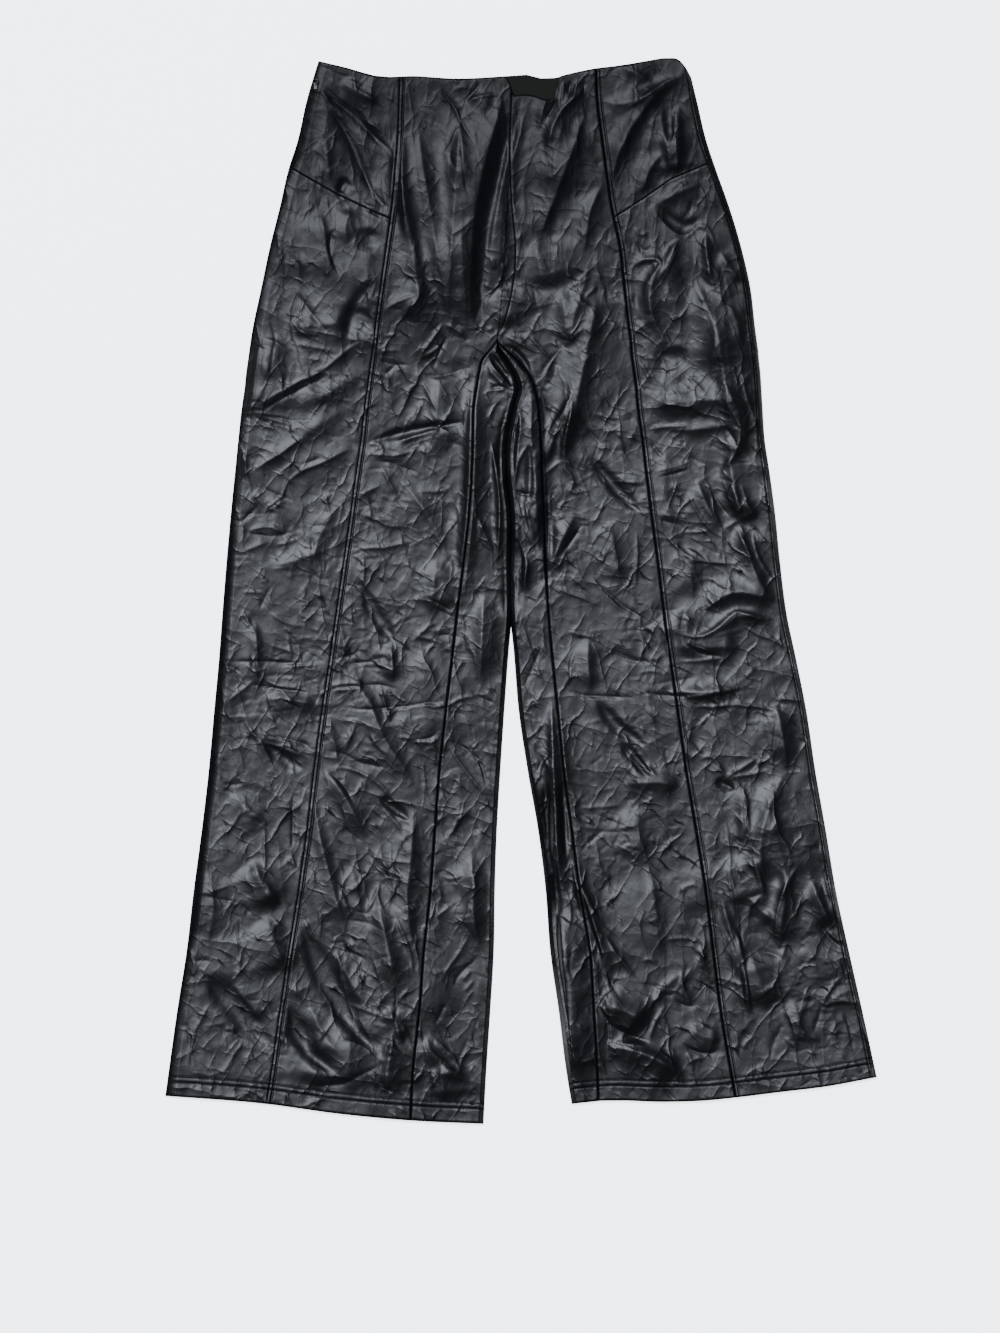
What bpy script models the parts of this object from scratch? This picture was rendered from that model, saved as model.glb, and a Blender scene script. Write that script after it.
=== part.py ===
"""Wide-leg, high-waist trousers of black coated cloth, laid flat with the front up.

The cloth is a thin wall.  The back legs lie flat on the ground and wrap over the inner leg edges up to
the inseams, and the front panels lie on them with a little air between, so each leg is a flattened tube.

Frame: +X to the wearer's left, +Y to the waist, +Z up from the surface that the garment lies on, origin
in the middle of the box at the ground.  All sizes below are in millimetres.
"""
import math

import bpy
import numpy as np

MM = 0.001

# Driving sizes
WALL = 1.5              # coated cloth with its bonded backing
SEAM_GAP = 0.3          # between two pieces at a seam
STACK = 6.4             # from the ground to the top of the upper layer where no fold lifts it
LOWEST_TOP = 3.7        # the upper layer's outer face never sinks below this
ROLL = 4.5              # how far in from a folded edge the cloth is round
SEAM_BAND = 3.0         # the strip along a seam that the seam allowance keeps flat
SIDE_STRIP = 6.0        # of the left back leg that shows inside the outer edge
LEG_GAP = 0.4           # between the two legs where they touch
SEAM_UPRIGHT = 1.1      # half the upright strip that the side seam makes in a folded edge
STEP_ALONG = 30.0       # longest distance between two sections
EDGE_STEPS = 6          # across a yoke or a side leg panel
CENTRE_STEPS = 7        # across a centre panel
STRIP_STEPS = 3         # across a back leg's strip beside the inseam
ROLL_STEP = 45.0        # degrees between two points round a folded edge
FOLD_END = 1.5          # how many half widths a fold takes to fade at its ends
NARROW_ROLL = 0.45      # of a narrow strip's width that its round edge takes
NARROW_BAND = 0.3       # and that its level band takes
ZIP_LENGTH = 190.0

# Nominal heights of the cross lines: each runs straight across the garment except near an edge seam
WAIST_AT = 515.0
YOKE_AT = 372.0
CROTCH_AT = 250.0
WRAP_AT = 243.0
HEM_FADE_AT = -430.0
HEM_AT = -512.0

# Sections, from the waist to the hem.  Each row gives where a cut across the garment meets its edges and
# seams.  Above the crotch the two inseam columns are the centre-front seam and the two inner columns are
# the centre-back seam.  R is the wearer's right (-X), L the left (+X).
#   along  side R  princess R  inseam R  inner R  inner L  inseam L  princess L  side L
SECTIONS = (
    (535, -201.0, -120.0, -9.0, -8.0, -8.0, -9.0, 75.0, 165.0),
    (490, -214.5, -122.0, -10.0, -9.5, -9.5, -10.0, 76.5, 176.0),
    (450, -223.5, -123.5, -11.0, -11.0, -11.0, -11.0, 81.5, 185.5),
    (420, -233.0, -126.0, -10.5, -12.0, -12.0, -10.5, 85.5, 195.5),
    (385, -241.0, -129.0, -9.0, -13.5, -13.5, -9.0, 90.5, 208.0),
    (345, -251.0, -134.5, -5.5, -16.0, -16.0, -5.5, 99.0, 220.0),
    (300, -260.5, -141.0, -9.0, -19.0, -19.0, -9.0, 104.0, 230.0),
    (265, -268.0, -145.5, -18.0, -22.0, -22.0, -18.0, 108.0, 234.0),
    (250, -270.5, -147.0, -24.0, -23.5, -23.5, -24.0, 110.0, 236.0),
    (243, -271.5, -148.0, -29.0, -22.5, -22.5, -17.0, 110.5, 237.0),
    (232, -273.0, -149.5, -38.0, -16.0, -16.0, -4.5, 111.5, 238.0),
    (218, -275.0, -151.5, -42.0, -7.5, -7.5, 7.0, 113.5, 239.5),
    (203, -276.5, -153.5, -44.5, -3.0, -3.0, 13.0, 115.5, 240.5),
    (186, -279.0, -156.0, -47.0, -7.0, -7.0, 17.0, 117.0, 241.5),
    (150, -283.0, -160.0, -48.0, -14.0, -14.0, 20.0, 122.0, 244.0),
    (120, -286.0, -164.5, -49.0, -14.5, -14.5, 21.0, 125.5, 248.5),
    (75, -290.5, -170.5, -52.0, -10.0, -10.0, 23.0, 131.0, 254.5),
    (30, -294.5, -177.0, -57.0, -10.5, -10.0, 24.5, 137.0, 259.0),
    (-20, -298.5, -184.5, -63.5, -11.5, -9.5, 27.5, 143.0, 265.0),
    (-60, -301.5, -190.0, -68.0, -13.0, -8.0, 31.0, 148.5, 273.5),
    (-120, -307.0, -199.0, -75.0, -17.0, -2.0, 37.0, 157.0, 285.5),
    (-180, -312.5, -207.0, -81.5, -21.0, 7.0, 43.0, 165.5, 294.5),
    (-240, -319.5, -214.0, -86.0, -24.5, 17.5, 51.0, 175.5, 305.0),
    (-300, -327.5, -222.5, -90.5, -26.5, 25.0, 59.0, 185.0, 315.0),
    (-360, -334.5, -232.0, -97.0, -27.5, 29.5, 69.0, 192.5, 328.0),
    (-420, -344.0, -241.0, -101.5, -31.0, 38.0, 73.0, 200.0, 341.5),
    (-480, -352.4, -249.5, -108.0, -35.0, 45.5, 76.5, 210.0, 354.5),
    (-535, -359.9, -258.0, -110.5, -38.0, 55.0, 78.5, 220.0, 366.0),
)
COLUMNS = ("along", "side_R", "princess_R", "inseam_R", "inner_R",
           "inner_L", "inseam_L", "princess_L", "side_L")

# Edges that run across, as (across, along) points
WAIST = ((-202, 530), (-173, 523), (-144, 515), (-105, 515), (-66, 512.5), (-13, 515), (10, 516),
         (26, 511.5), (43, 516), (70, 522), (101, 526), (128, 530.5), (146, 533), (158, 531), (165, 523),
         (171, 512))
YOKE_SEAM = ((-233, 425), (-188, 399), (-155, 383), (-130, YOKE_AT), (91, YOKE_AT), (126, 395),
             (150, 412), (188, 428))
HEM = {
    "R": ((-356, -505), (-255, -513), (-182, -523), (-105, -530), (-37, -533)),
    "L": ((51, -513), (78, -510), (146, -511), (180, -510), (221, -506), (261, -501), (303, -496),
          (357, -486)),
}

# The largest folds of the upper layer.  Each runs from a start to an end point with a sideways bow at its
# middle, and has a half width and a height, negative for a trough.
#   start across, along   end across, along   bow   half width   height
FOLDS = (
    (-10, 520, -40, 262, -11, 9.0, -3.0),       # deep valley beside the centre front
    (-14, 470, -24, 300, -8, 11.0, 4.5),        # its left bank
    (-46, 500, -56, 285, -4, 15.0, 3.5),        # its right bank
    (-117, 412, -78, 250, 4, 9.0, -2.6),        # long soft valley under the right hip
    (-96, 405, -62, 262, 4, 10.0, 2.8),
    (69, 495, 24, 345, 4, 8.0, -2.7),           # valley from the waist beside the left princess seam
    (46, 480, 8, 350, 4, 11.0, 2.6),
    (168, 515, 98, 484, -3, 9.0, 3.6),          # zip-side drag on the left yoke
    (143, 500, 93, 410, -5, 9.0, -2.7),
    (134, 472, 116, 404, 2, 9.0, 3.2),
    (-178, 486, -128, 442, 3, 9.0, 3.0),        # drag lines from the zip top over the right yoke
    (-180, 470, -140, 418, 4, 7.0, -2.4),
    (-272, 181, -151, 250, 6, 9.0, 3.2),        # right thigh
    (-262, 118, -170, 184, 5, 9.0, 2.6),
    (-160, 147, -58, 168, 5, 8.0, -2.4),
    (-150, 232, -86, 214, -4, 12.0, 3.0),
    (177, 311, 223, 122, 12, 12.0, -2.7),       # left hip and thigh
    (205, 262, 240, 150, 8, 10.0, 3.4),
    (82, 272, 48, 142, 5, 9.0, -2.6),
    (54, 200, 24, 140, 3, 9.0, 3.0),
    (140, 381, 178, 345, -8, 10.0, 3.0),
    (149, -38, 222, -3, 6, 9.0, 3.8),           # sharp fold across the left knee
    (150, -14, 214, 16, 5, 8.0, -2.4),
    (153, -107, 222, -98, 3, 9.0, 2.6),
    (71, -112, 130, -158, 3, 9.0, 2.6),
    (-168, -70, -98, -196, 6, 9.0, -2.7),       # right knee
    (-150, -52, -84, -150, 5, 10.0, 3.0),
    (-268, -124, -202, -112, 3, 9.0, 2.4),
    (-190, -118, -80, -116, 3, 9.0, -2.2),
    (-226, -338, -129, -470, 5, 13.0, -2.7),    # lower right leg
    (-206, -300, -112, -408, 5, 15.0, 3.4),
    (-318, -372, -252, -452, 4, 11.0, -2.4),
    (-84, -395, -50, -335, 3, 11.0, 2.8),
    (196, -222, 160, -330, 5, 12.0, 2.8),       # lower left leg
    (100, -252, 128, -420, 6, 14.0, 2.8),
    (262, -190, 300, -400, 8, 14.0, 2.6),
    (232, -300, 262, -440, 5, 11.0, -2.4),
)

# Concealed zip at the wearer's right side seam: its closed chain, slider and round pull
CHAIN_WIDTH = 5.0
CHAIN_THICK = 1.1
CHAIN_INSET = 5.0       # from the folded edge
SLIDER_AT = (-205.5, 505.0)
SLIDER_LENGTH = 7.0
SLIDER_WIDTH = 3.2
SLIDER_THICK = 2.0
SLIDER_ROUND = 0.4
BRIDGE_BACK = 1.6       # from the slider's upper end to the bridge's middle
BRIDGE_RADIUS = 1.7     # to the middle of the bridge's wire
BRIDGE_RISE = 0.2       # of the bridge's centre over the slider's back
BRIDGE_WIRE = 0.7
PULL_RADIUS = 2.8       # to the middle of the wire
PULL_WIRE = 0.8
PULL_RISE = 0.78        # of the pull's hinge over the slider's back
PULL_DROP = 20.0        # degrees that the pull hangs down from level at rest

INWARD = {"R": 1, "L": -1}
NAME = {"R": "right", "L": "left"}

COATED_CLOTH = (0.012, 0.012, 0.013)
ZIP_TAPE = (0.010, 0.010, 0.011)
NICKEL = (0.42, 0.42, 0.43)


def smooth_line(rows, at):
    """Cubic curve through rows of (position, value), with each slope taken from the two neighbours."""
    rows = np.array(sorted(rows), float)
    place, value = rows[:, 0], rows[:, 1]
    slope = np.gradient(value, place)
    cell = np.clip(np.searchsorted(place, at) - 1, 0, len(place) - 2)
    width = place[cell + 1] - place[cell]
    t = np.clip((at - place[cell]) / width, 0.0, 1.0)
    return (value[cell] * (1 + 2 * t) * (1 - t) ** 2 + value[cell + 1] * t * t * (3 - 2 * t)
            + width * t * (1 - t) * (slope[cell] * (1 - t) - slope[cell + 1] * t))


def line_across(name, along):
    """Where the named edge or seam lies across, at the given heights along the garment."""
    column = COLUMNS.index(name)
    return smooth_line([(row[0], row[column]) for row in SECTIONS], along)


def cross_line(side, across, nominal):
    """Height along the garment of the cross line that is nominally straight, bent to the edge seams."""
    waist = smooth_line(WAIST, across)
    yoke = np.interp(across, *np.array(YOKE_SEAM).T)
    hem = smooth_line(HEM[side], across)
    over_yoke = yoke + (waist - yoke) * (nominal - YOKE_AT) / (WAIST_AT - YOKE_AT)
    under_yoke = CROTCH_AT + (yoke - CROTCH_AT) * (nominal - CROTCH_AT) / (YOKE_AT - CROTCH_AT)
    over_hem = HEM_FADE_AT + (hem - HEM_FADE_AT) * (nominal - HEM_FADE_AT) / (HEM_AT - HEM_FADE_AT)
    hip = np.where(nominal >= YOKE_AT, over_yoke, under_yoke)
    leg = np.where(nominal < HEM_FADE_AT, over_hem, nominal)
    return np.where(nominal >= CROTCH_AT, hip, leg)


def on_line(side, name, nominal):
    """Where the cross lines meet the named edge or seam, found by a few rounds of correction."""
    along = nominal
    for _ in range(5):
        across = line_across(f"{name}_{side}", along)
        along = cross_line(side, across, nominal)
    return across


def stations(start, end):
    """Nominal heights of the cross lines from start down to end, closer together round the crotch."""
    marks = (WAIST_AT, YOKE_AT + SEAM_BAND, YOKE_AT, YOKE_AT - SEAM_BAND, CROTCH_AT, WRAP_AT, 232.0,
             218.0, 203.0, 186.0, HEM_FADE_AT, HEM_AT)
    marks = [mark for mark in marks if end <= mark <= start]
    rows = []
    for high, low in zip(marks, marks[1:]):
        count = math.ceil((high - low) / STEP_ALONG)
        rows += [high + (low - high) * i / count for i in range(count)]
    return np.array(rows + [end])


def top_height(across, along):
    """Height of the upper layer: the flat stack with every fold's bell-shaped bank or trough added."""
    height = np.full(np.shape(across), STACK)
    for x0, y0, x1, y1, bow, half_width, rise in FOLDS:
        length = math.hypot(x1 - x0, y1 - y0)
        run = ((x1 - x0) / length, (y1 - y0) / length)
        forward = (across - x0) * run[0] + (along - y0) * run[1]
        share = forward / length
        sideways = (along - y0) * run[0] - (across - x0) * run[1] - 4 * bow * share * (1 - share)
        beyond = np.maximum(0.0, np.abs(forward - length / 2) - length / 2)
        height += rise * np.exp(-(sideways / half_width) ** 2 - (beyond / (FOLD_END * half_width)) ** 2)
    return np.maximum(height, LOWEST_TOP)


def on_top(side, nominal, across, read=None):
    """Column of the upper layer, its height read at another place across where the cloth is level."""
    read = across if read is None else read
    level = np.where(np.abs(nominal - YOKE_AT) <= SEAM_BAND, YOKE_AT, nominal)
    return across, top_height(read, cross_line(side, read, level))


def top_run(side, nominal, seam, far_seam, inward, steps, band=SEAM_BAND):
    """Columns of the upper layer after a seam up to the far seam, level along the far seam.

    inward is +1 where across grows from the seam to the far seam, and -1 where it falls."""
    width = np.abs(far_seam - seam)
    columns = []
    for share in np.arange(1, steps) / steps:
        columns.append(on_top(side, nominal, seam + inward * (width - band) * share))
    columns.append(on_top(side, nominal, far_seam - inward * band, far_seam))
    columns.append(on_top(side, nominal, far_seam - inward * SEAM_GAP / 2, far_seam))
    return columns


def seam_start(side, nominal, seam, inward):
    """Columns at a seam on top: its edge and the end of its level strip."""
    return [on_top(side, nominal, seam + inward * SEAM_GAP / 2, seam),
            on_top(side, nominal, seam + inward * SEAM_BAND, seam)]


def roll(edge, inward, depth, low, high, start, end):
    """Columns round a folded edge, on an ellipse: angle 0 is outermost, 90 on top, -90 on the ground.

    depth is how far in the ellipse reaches, and low and high are its heights at -90 and 90 degrees."""
    columns = []
    for angle in np.linspace(start, end, 1 + round(abs(end - start) / ROLL_STEP)):
        turn = math.radians(angle)
        across = edge + inward * depth * (1 - math.cos(turn))
        height = (high + low) / 2 + (high - low) / 2 * math.sin(turn)
        columns.append((across, height + np.zeros_like(edge)))
    return columns


def side_seam_half(edge, inward, top, upward):
    """Columns from the side seam at a folded edge, up over the top or down to the ground.

    The seam's own strip stands upright, so that the two pieces meet face to face."""
    middle = STACK / 2
    seam = middle + upward * SEAM_GAP / 2
    strip = middle + upward * SEAM_UPRIGHT
    columns = [(edge, seam + np.zeros_like(edge))]
    reach = np.abs(top - strip)
    for angle in (0.0, ROLL_STEP, 90.0):
        turn = math.radians(angle)
        columns.append((edge + inward * ROLL * (1 - math.cos(turn)),
                        strip + upward * reach * math.sin(turn)))
    return columns


def column_places(side, nominal, columns):
    """Places along the garment of every point of the columns, each on its cross line."""
    across = np.stack([column[0] for column in columns], axis=1)
    return cross_line(side, across, nominal[:, None])


def sheet(name, columns, along, outward, material, skip=None, wall=WALL):
    """One piece of cloth: an open surface through columns of (across, height), walled by Solidify.

    along gives the points' places along the garment.  outward is +1 where the columns run towards +X on
    top and -1 where they run towards -X.  skip is (row, column): above that row, the cells from that
    column on are left out."""
    across = np.stack([column[0] for column in columns], axis=1)
    height = np.stack([column[1] for column in columns], axis=1)
    points = np.stack((across, along, height), axis=-1) * MM
    index = np.arange(across.size).reshape(across.shape)
    corners = [index[:-1, :-1], index[1:, :-1], index[1:, 1:], index[:-1, 1:]]
    faces = np.stack(corners[::outward], axis=-1)
    keep = np.ones(faces.shape[:2], bool)
    if skip:
        keep[:skip[0], skip[1]:] = False
    used, faces = np.unique(faces[keep], return_inverse=True)
    mesh = bpy.data.meshes.new(name)
    mesh.from_pydata(points.reshape(-1, 3)[used].tolist(), [], faces.reshape(-1, 4).tolist())
    mesh.shade_smooth()
    mesh.materials.append(material)
    piece = bpy.data.objects.new(name, mesh)
    solid = piece.modifiers.new("wall", "SOLIDIFY")
    solid.thickness = wall * MM
    solid.offset = -1.0
    return piece


def front_edge_panel(name, side, start, end, yoke_gap, material):
    """Yoke or side leg panel: from the side seam to the princess seam.

    yoke_gap is +1 on the yoke and -1 on the leg panel, which draw back from their seam by half its gap."""
    inward = INWARD[side]
    nominal = stations(start, end)
    edge = on_line(side, "side", nominal)
    princess = on_line(side, "princess", nominal)
    if side == "R":
        begin = edge + inward * ROLL
        columns = side_seam_half(edge, inward, on_top(side, nominal, begin)[1], 1)
    else:
        seam = edge + inward * SIDE_STRIP
        begin = seam + inward * SEAM_BAND
        columns = seam_start(side, nominal, seam, inward)
    columns += top_run(side, nominal, begin, princess, inward, EDGE_STEPS)
    along = column_places(side, nominal, columns)
    along[nominal == YOKE_AT] += yoke_gap * SEAM_GAP / 2
    return sheet(name, columns, along, inward, material)


def front_centre(name, side, material):
    """Centre panel: from the princess seam to the centre-front seam and, below the crotch, the inseam."""
    inward = INWARD[side]
    nominal = stations(WAIST_AT, HEM_AT)
    princess = on_line(side, "princess", nominal)
    inseam = on_line(side, "inseam", nominal)
    columns = seam_start(side, nominal, princess, inward)
    columns += top_run(side, nominal, princess + inward * SEAM_BAND, inseam, inward, CENTRE_STEPS)
    return sheet(name, columns, column_places(side, nominal, columns), inward, material)


def back_leg(name, side, material):
    """Back leg: flat on the ground from the side to the centre-back seam or, below the crotch, to the
    inner leg edge, where it wraps over to the inseam on top.  The left one wraps over its side too."""
    inward = INWARD[side]
    nominal = stations(WAIST_AT, HEM_AT)
    edge = on_line(side, "side", nominal)
    inner = on_line(side, "inner", nominal) - inward * LEG_GAP / 2
    inseam = on_line(side, "inseam", nominal)
    ground = np.zeros_like(nominal)
    if side == "R":
        columns = side_seam_half(edge, inward, ground, -1)
    else:
        seam = edge + inward * SIDE_STRIP
        top = on_top(side, nominal, seam)[1]
        columns = [(seam - inward * SEAM_GAP / 2, top)]
        columns += roll(edge, inward, ROLL, ground, top, 90, -90)
    strip = np.abs(inner - inseam)
    depth = np.where(nominal <= WRAP_AT, np.minimum(ROLL, NARROW_ROLL * strip), 0.0)
    flat_start = edge + inward * ROLL
    flat_end = inner - inward * depth
    for share in (1 / 3, 2 / 3, 1.0):
        columns.append((flat_start + (flat_end - flat_start) * share, ground))
    first_wrap = len(columns) - 1
    crest = on_top(side, nominal, flat_end)[1]
    columns += roll(inner, -inward, depth, ground, crest, -90, 90)[1:]
    band = np.minimum(SEAM_BAND, NARROW_BAND * strip)
    columns += top_run(side, nominal, flat_end, inseam, -inward, STRIP_STEPS, band)
    wrap_row = int(np.flatnonzero(nominal == WRAP_AT)[0])
    along = column_places(side, nominal, columns)
    return sheet(name, columns, along, -inward, material, skip=(wrap_row, first_wrap))


def zip_chain(name, material):
    """The zip's closed chain: a flat strip inside the right side seam, just over the back leg's wall."""
    along = SLIDER_AT[1] - np.linspace(0, ZIP_LENGTH, 1 + math.ceil(ZIP_LENGTH / STEP_ALONG))
    edge = line_across("side_R", along) + CHAIN_INSET
    height = np.full_like(along, WALL + SEAM_GAP + CHAIN_THICK)
    columns = [(edge, height), (edge + CHAIN_WIDTH, height)]
    return sheet(name, columns, np.stack((along, along), axis=1), 1, material, wall=CHAIN_THICK)


def zip_slider(name, material):
    """Slider: a small rounded block on the cloth, with a round bridge of wire across its back."""
    x, y = SLIDER_AT
    back = STACK + SEAM_GAP + SLIDER_THICK
    bpy.ops.mesh.primitive_cube_add(size=1, location=(x * MM, y * MM, (back - SLIDER_THICK / 2) * MM))
    slider = bpy.context.object
    slider.name = name
    slider.scale = (SLIDER_WIDTH * MM, SLIDER_LENGTH * MM, SLIDER_THICK * MM)
    bpy.ops.object.transform_apply(location=False, rotation=False, scale=True)
    edges = slider.modifiers.new("round", "BEVEL")
    edges.width = SLIDER_ROUND * MM
    edges.segments = 1
    bpy.ops.mesh.primitive_torus_add(
        major_radius=BRIDGE_RADIUS * MM, minor_radius=BRIDGE_WIRE / 2 * MM,
        major_segments=24, minor_segments=8, rotation=(0, math.pi / 2, 0),
        location=(x * MM, (y + SLIDER_LENGTH / 2 - BRIDGE_BACK) * MM, (back + BRIDGE_RISE) * MM))
    bridge = bpy.context.object
    bridge.name = f"{name}_bridge"
    bridge.hide_render = True
    bridge.display_type = "WIRE"
    join = slider.modifiers.new("bridge", "BOOLEAN")
    join.operation = "UNION"
    join.object = bridge
    slider.data.materials.append(material)
    return slider, bridge


def zip_pull(name, material):
    """Round wire pull, hinged through the slider's bridge and hanging down a little towards the waist.

    Its origin is on the hinge, which runs across."""
    x, y = SLIDER_AT
    hinge = (x * MM, (y + SLIDER_LENGTH / 2 - BRIDGE_BACK) * MM,
             (STACK + SEAM_GAP + SLIDER_THICK + PULL_RISE) * MM)
    bpy.ops.mesh.primitive_torus_add(
        major_radius=PULL_RADIUS * MM, minor_radius=PULL_WIRE / 2 * MM,
        major_segments=28, minor_segments=8, location=(0, PULL_RADIUS * MM, 0))
    pull = bpy.context.object
    pull.name = name
    bpy.ops.object.transform_apply(location=True, rotation=False, scale=False)
    pull.location = hinge
    pull.rotation_euler = (math.radians(-PULL_DROP), 0, 0)
    pull.data.shade_smooth()
    pull.data.materials.append(material)
    return pull


def surface(name, colour, roughness, metallic):
    """Principled material of one colour."""
    material = bpy.data.materials.new(name)
    material.use_nodes = True
    shader = material.node_tree.nodes["Principled BSDF"]
    shader.inputs["Base Color"].default_value = (*colour, 1.0)
    shader.inputs["Roughness"].default_value = roughness
    shader.inputs["Metallic"].default_value = metallic
    return material


def gather(collection_name, pieces):
    """Put the pieces in a collection of their own."""
    collection = bpy.data.collections.new(collection_name)
    bpy.context.scene.collection.children.link(collection)
    for piece in pieces:
        for old in list(piece.users_collection):
            old.objects.unlink(piece)
        collection.objects.link(piece)


def build():
    """The whole garment."""
    for old in list(bpy.data.objects):
        bpy.data.objects.remove(old, do_unlink=True)
    cloth = surface("coated_cloth", COATED_CLOTH, 0.38, 0.0)
    tape = surface("zip_tape", ZIP_TAPE, 0.7, 0.0)
    nickel = surface("nickel_wire", NICKEL, 0.3, 1.0)
    pieces = []
    for side, word in NAME.items():
        pieces.append(front_edge_panel(f"front_yoke_{word}", side, WAIST_AT, YOKE_AT, 1, cloth))
        pieces.append(front_edge_panel(f"front_side_{word}", side, YOKE_AT, HEM_AT, -1, cloth))
        pieces.append(front_centre(f"front_centre_{word}", side, cloth))
        pieces.append(back_leg(f"back_{word}", side, cloth))
    slider, bridge = zip_slider("zip_slider", nickel)
    pieces += [zip_chain("side_zip_chain", tape), slider, zip_pull("zip_pull", nickel)]
    gather("leather_trousers", pieces)
    gather("joining_shapes", [bridge])


build()
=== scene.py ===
"""Looks of the wide-leg trousers of black coated cloth, laid flat with the front up.

Every panel is a fine grid on the form of its solid: the same sections, seams and edges, with the creases
of the laid cloth added to the height of the upper layer.  Sizes in the tables are in millimetres.

Places come in two kinds.  The garment's own are (across, along), in the part's frame.  Creases are placed
on the board of floor that the camera frames, as (right, down) from its upper left corner.
"""

import math

import bpy
import numpy as np
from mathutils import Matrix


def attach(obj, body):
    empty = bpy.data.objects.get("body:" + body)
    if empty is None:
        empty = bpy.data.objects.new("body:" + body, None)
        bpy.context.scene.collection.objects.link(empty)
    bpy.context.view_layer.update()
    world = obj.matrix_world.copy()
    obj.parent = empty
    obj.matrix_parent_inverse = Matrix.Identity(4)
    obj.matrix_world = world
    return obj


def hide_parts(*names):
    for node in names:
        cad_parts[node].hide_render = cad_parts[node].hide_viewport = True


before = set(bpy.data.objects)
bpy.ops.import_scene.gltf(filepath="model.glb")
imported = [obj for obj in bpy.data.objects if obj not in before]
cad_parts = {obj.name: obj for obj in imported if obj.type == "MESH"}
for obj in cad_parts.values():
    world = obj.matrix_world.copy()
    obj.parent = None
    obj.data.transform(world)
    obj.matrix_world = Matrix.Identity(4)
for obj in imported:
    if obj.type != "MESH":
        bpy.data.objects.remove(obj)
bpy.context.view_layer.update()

MM = 0.001

# ---------------------------------------------------------------------------------- camera, floor, light
BOARD_WIDTH = 1000.0
BOARD_HEIGHT = 1333.0
BOARD_CORNER = (-521.0, 591.0)      # its upper left corner in the part's frame
CAMERA_HEIGHT = 3.0                 # metres
FLOOR_CLEAR = 0.1                   # from the floor up to the cloth that lies on it

# ---------------------------------------------------------------------------------------- driving sizes
SHELL = 0.9                         # thickness of the cloth as it is shown
SEAM_GAP = 0.3                      # between two pieces at a seam
STACK = 6.4                         # from the ground to the top of the upper layer where no fold lifts it
LOWEST_TOP = 3.0                    # the upper layer never sinks below this
HIGHEST_TOP = 19.0                  # nor rises over this
SEAM_BAND = 2.5                     # the strip along a seam that the seam allowance keeps flat
SEAM_FADE = 14.0                    # from a seam to where folds have their full shape again
BAND_SHARE = 0.3                    # of that, the most that the flat strip takes where a panel is narrow
ROLL = 10.0                         # how far in from a folded edge the cloth is round
STRIP_ROLL = 4.5                    # and at the left outer edge, under the strip of the back leg
INNER_ROLL = 5.0                    # and at the inner leg edges
SIDE_STRIP = 6.0                    # of the left back leg that shows inside the outer edge
LEG_PRESS = 0.8                     # that the two legs press into each other where they touch
FOLD_LEVEL = 0.2                    # height of the outermost point of a folded edge, as a share of the stack
BEVEL = 1.6                         # power that makes the upper side of a folded edge nearly straight
ZIP_ENDS = (240.0, 320.0)           # nominal heights between which the side seam drops to that level
SEAM_UPRIGHT = 0.8                  # half the upright strip that the side seam makes in a folded edge
NARROW_ROLL = 0.45                  # of a narrow strip's width that its round edge takes
GRID = 1.33                         # between two points of the upper layer
FINE = 0.8                          # and between two cross lines near the waist and the yoke seam,
FINE_REACH = 4.0                    # as far as this from them
HEM_GRID = 0.9                      # and near the hem,
HEM_REACH = 24.0                    # as far as this above it
ROLL_STEP = 10.0                    # degrees between two points round a folded edge
# close steps of the grid near a seam, from the seam
NEAR_SEAM = np.array((0.15, 0.7, 1.4, 2.2, 3.0, 3.6, 4.2, 4.8, 5.4, 6.2, 7.3))
NEAR_SHARE = 0.35                   # of a narrow panel's width, the most that they take up at each seam

# Nominal heights of the cross lines: each runs straight across the garment except near an edge seam
WAIST_AT = 515.0
YOKE_AT = 372.0
CROTCH_AT = 250.0
WRAP_AT = 250.0
HEM_FADE_AT = -430.0
HEM_AT = -512.0

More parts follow.
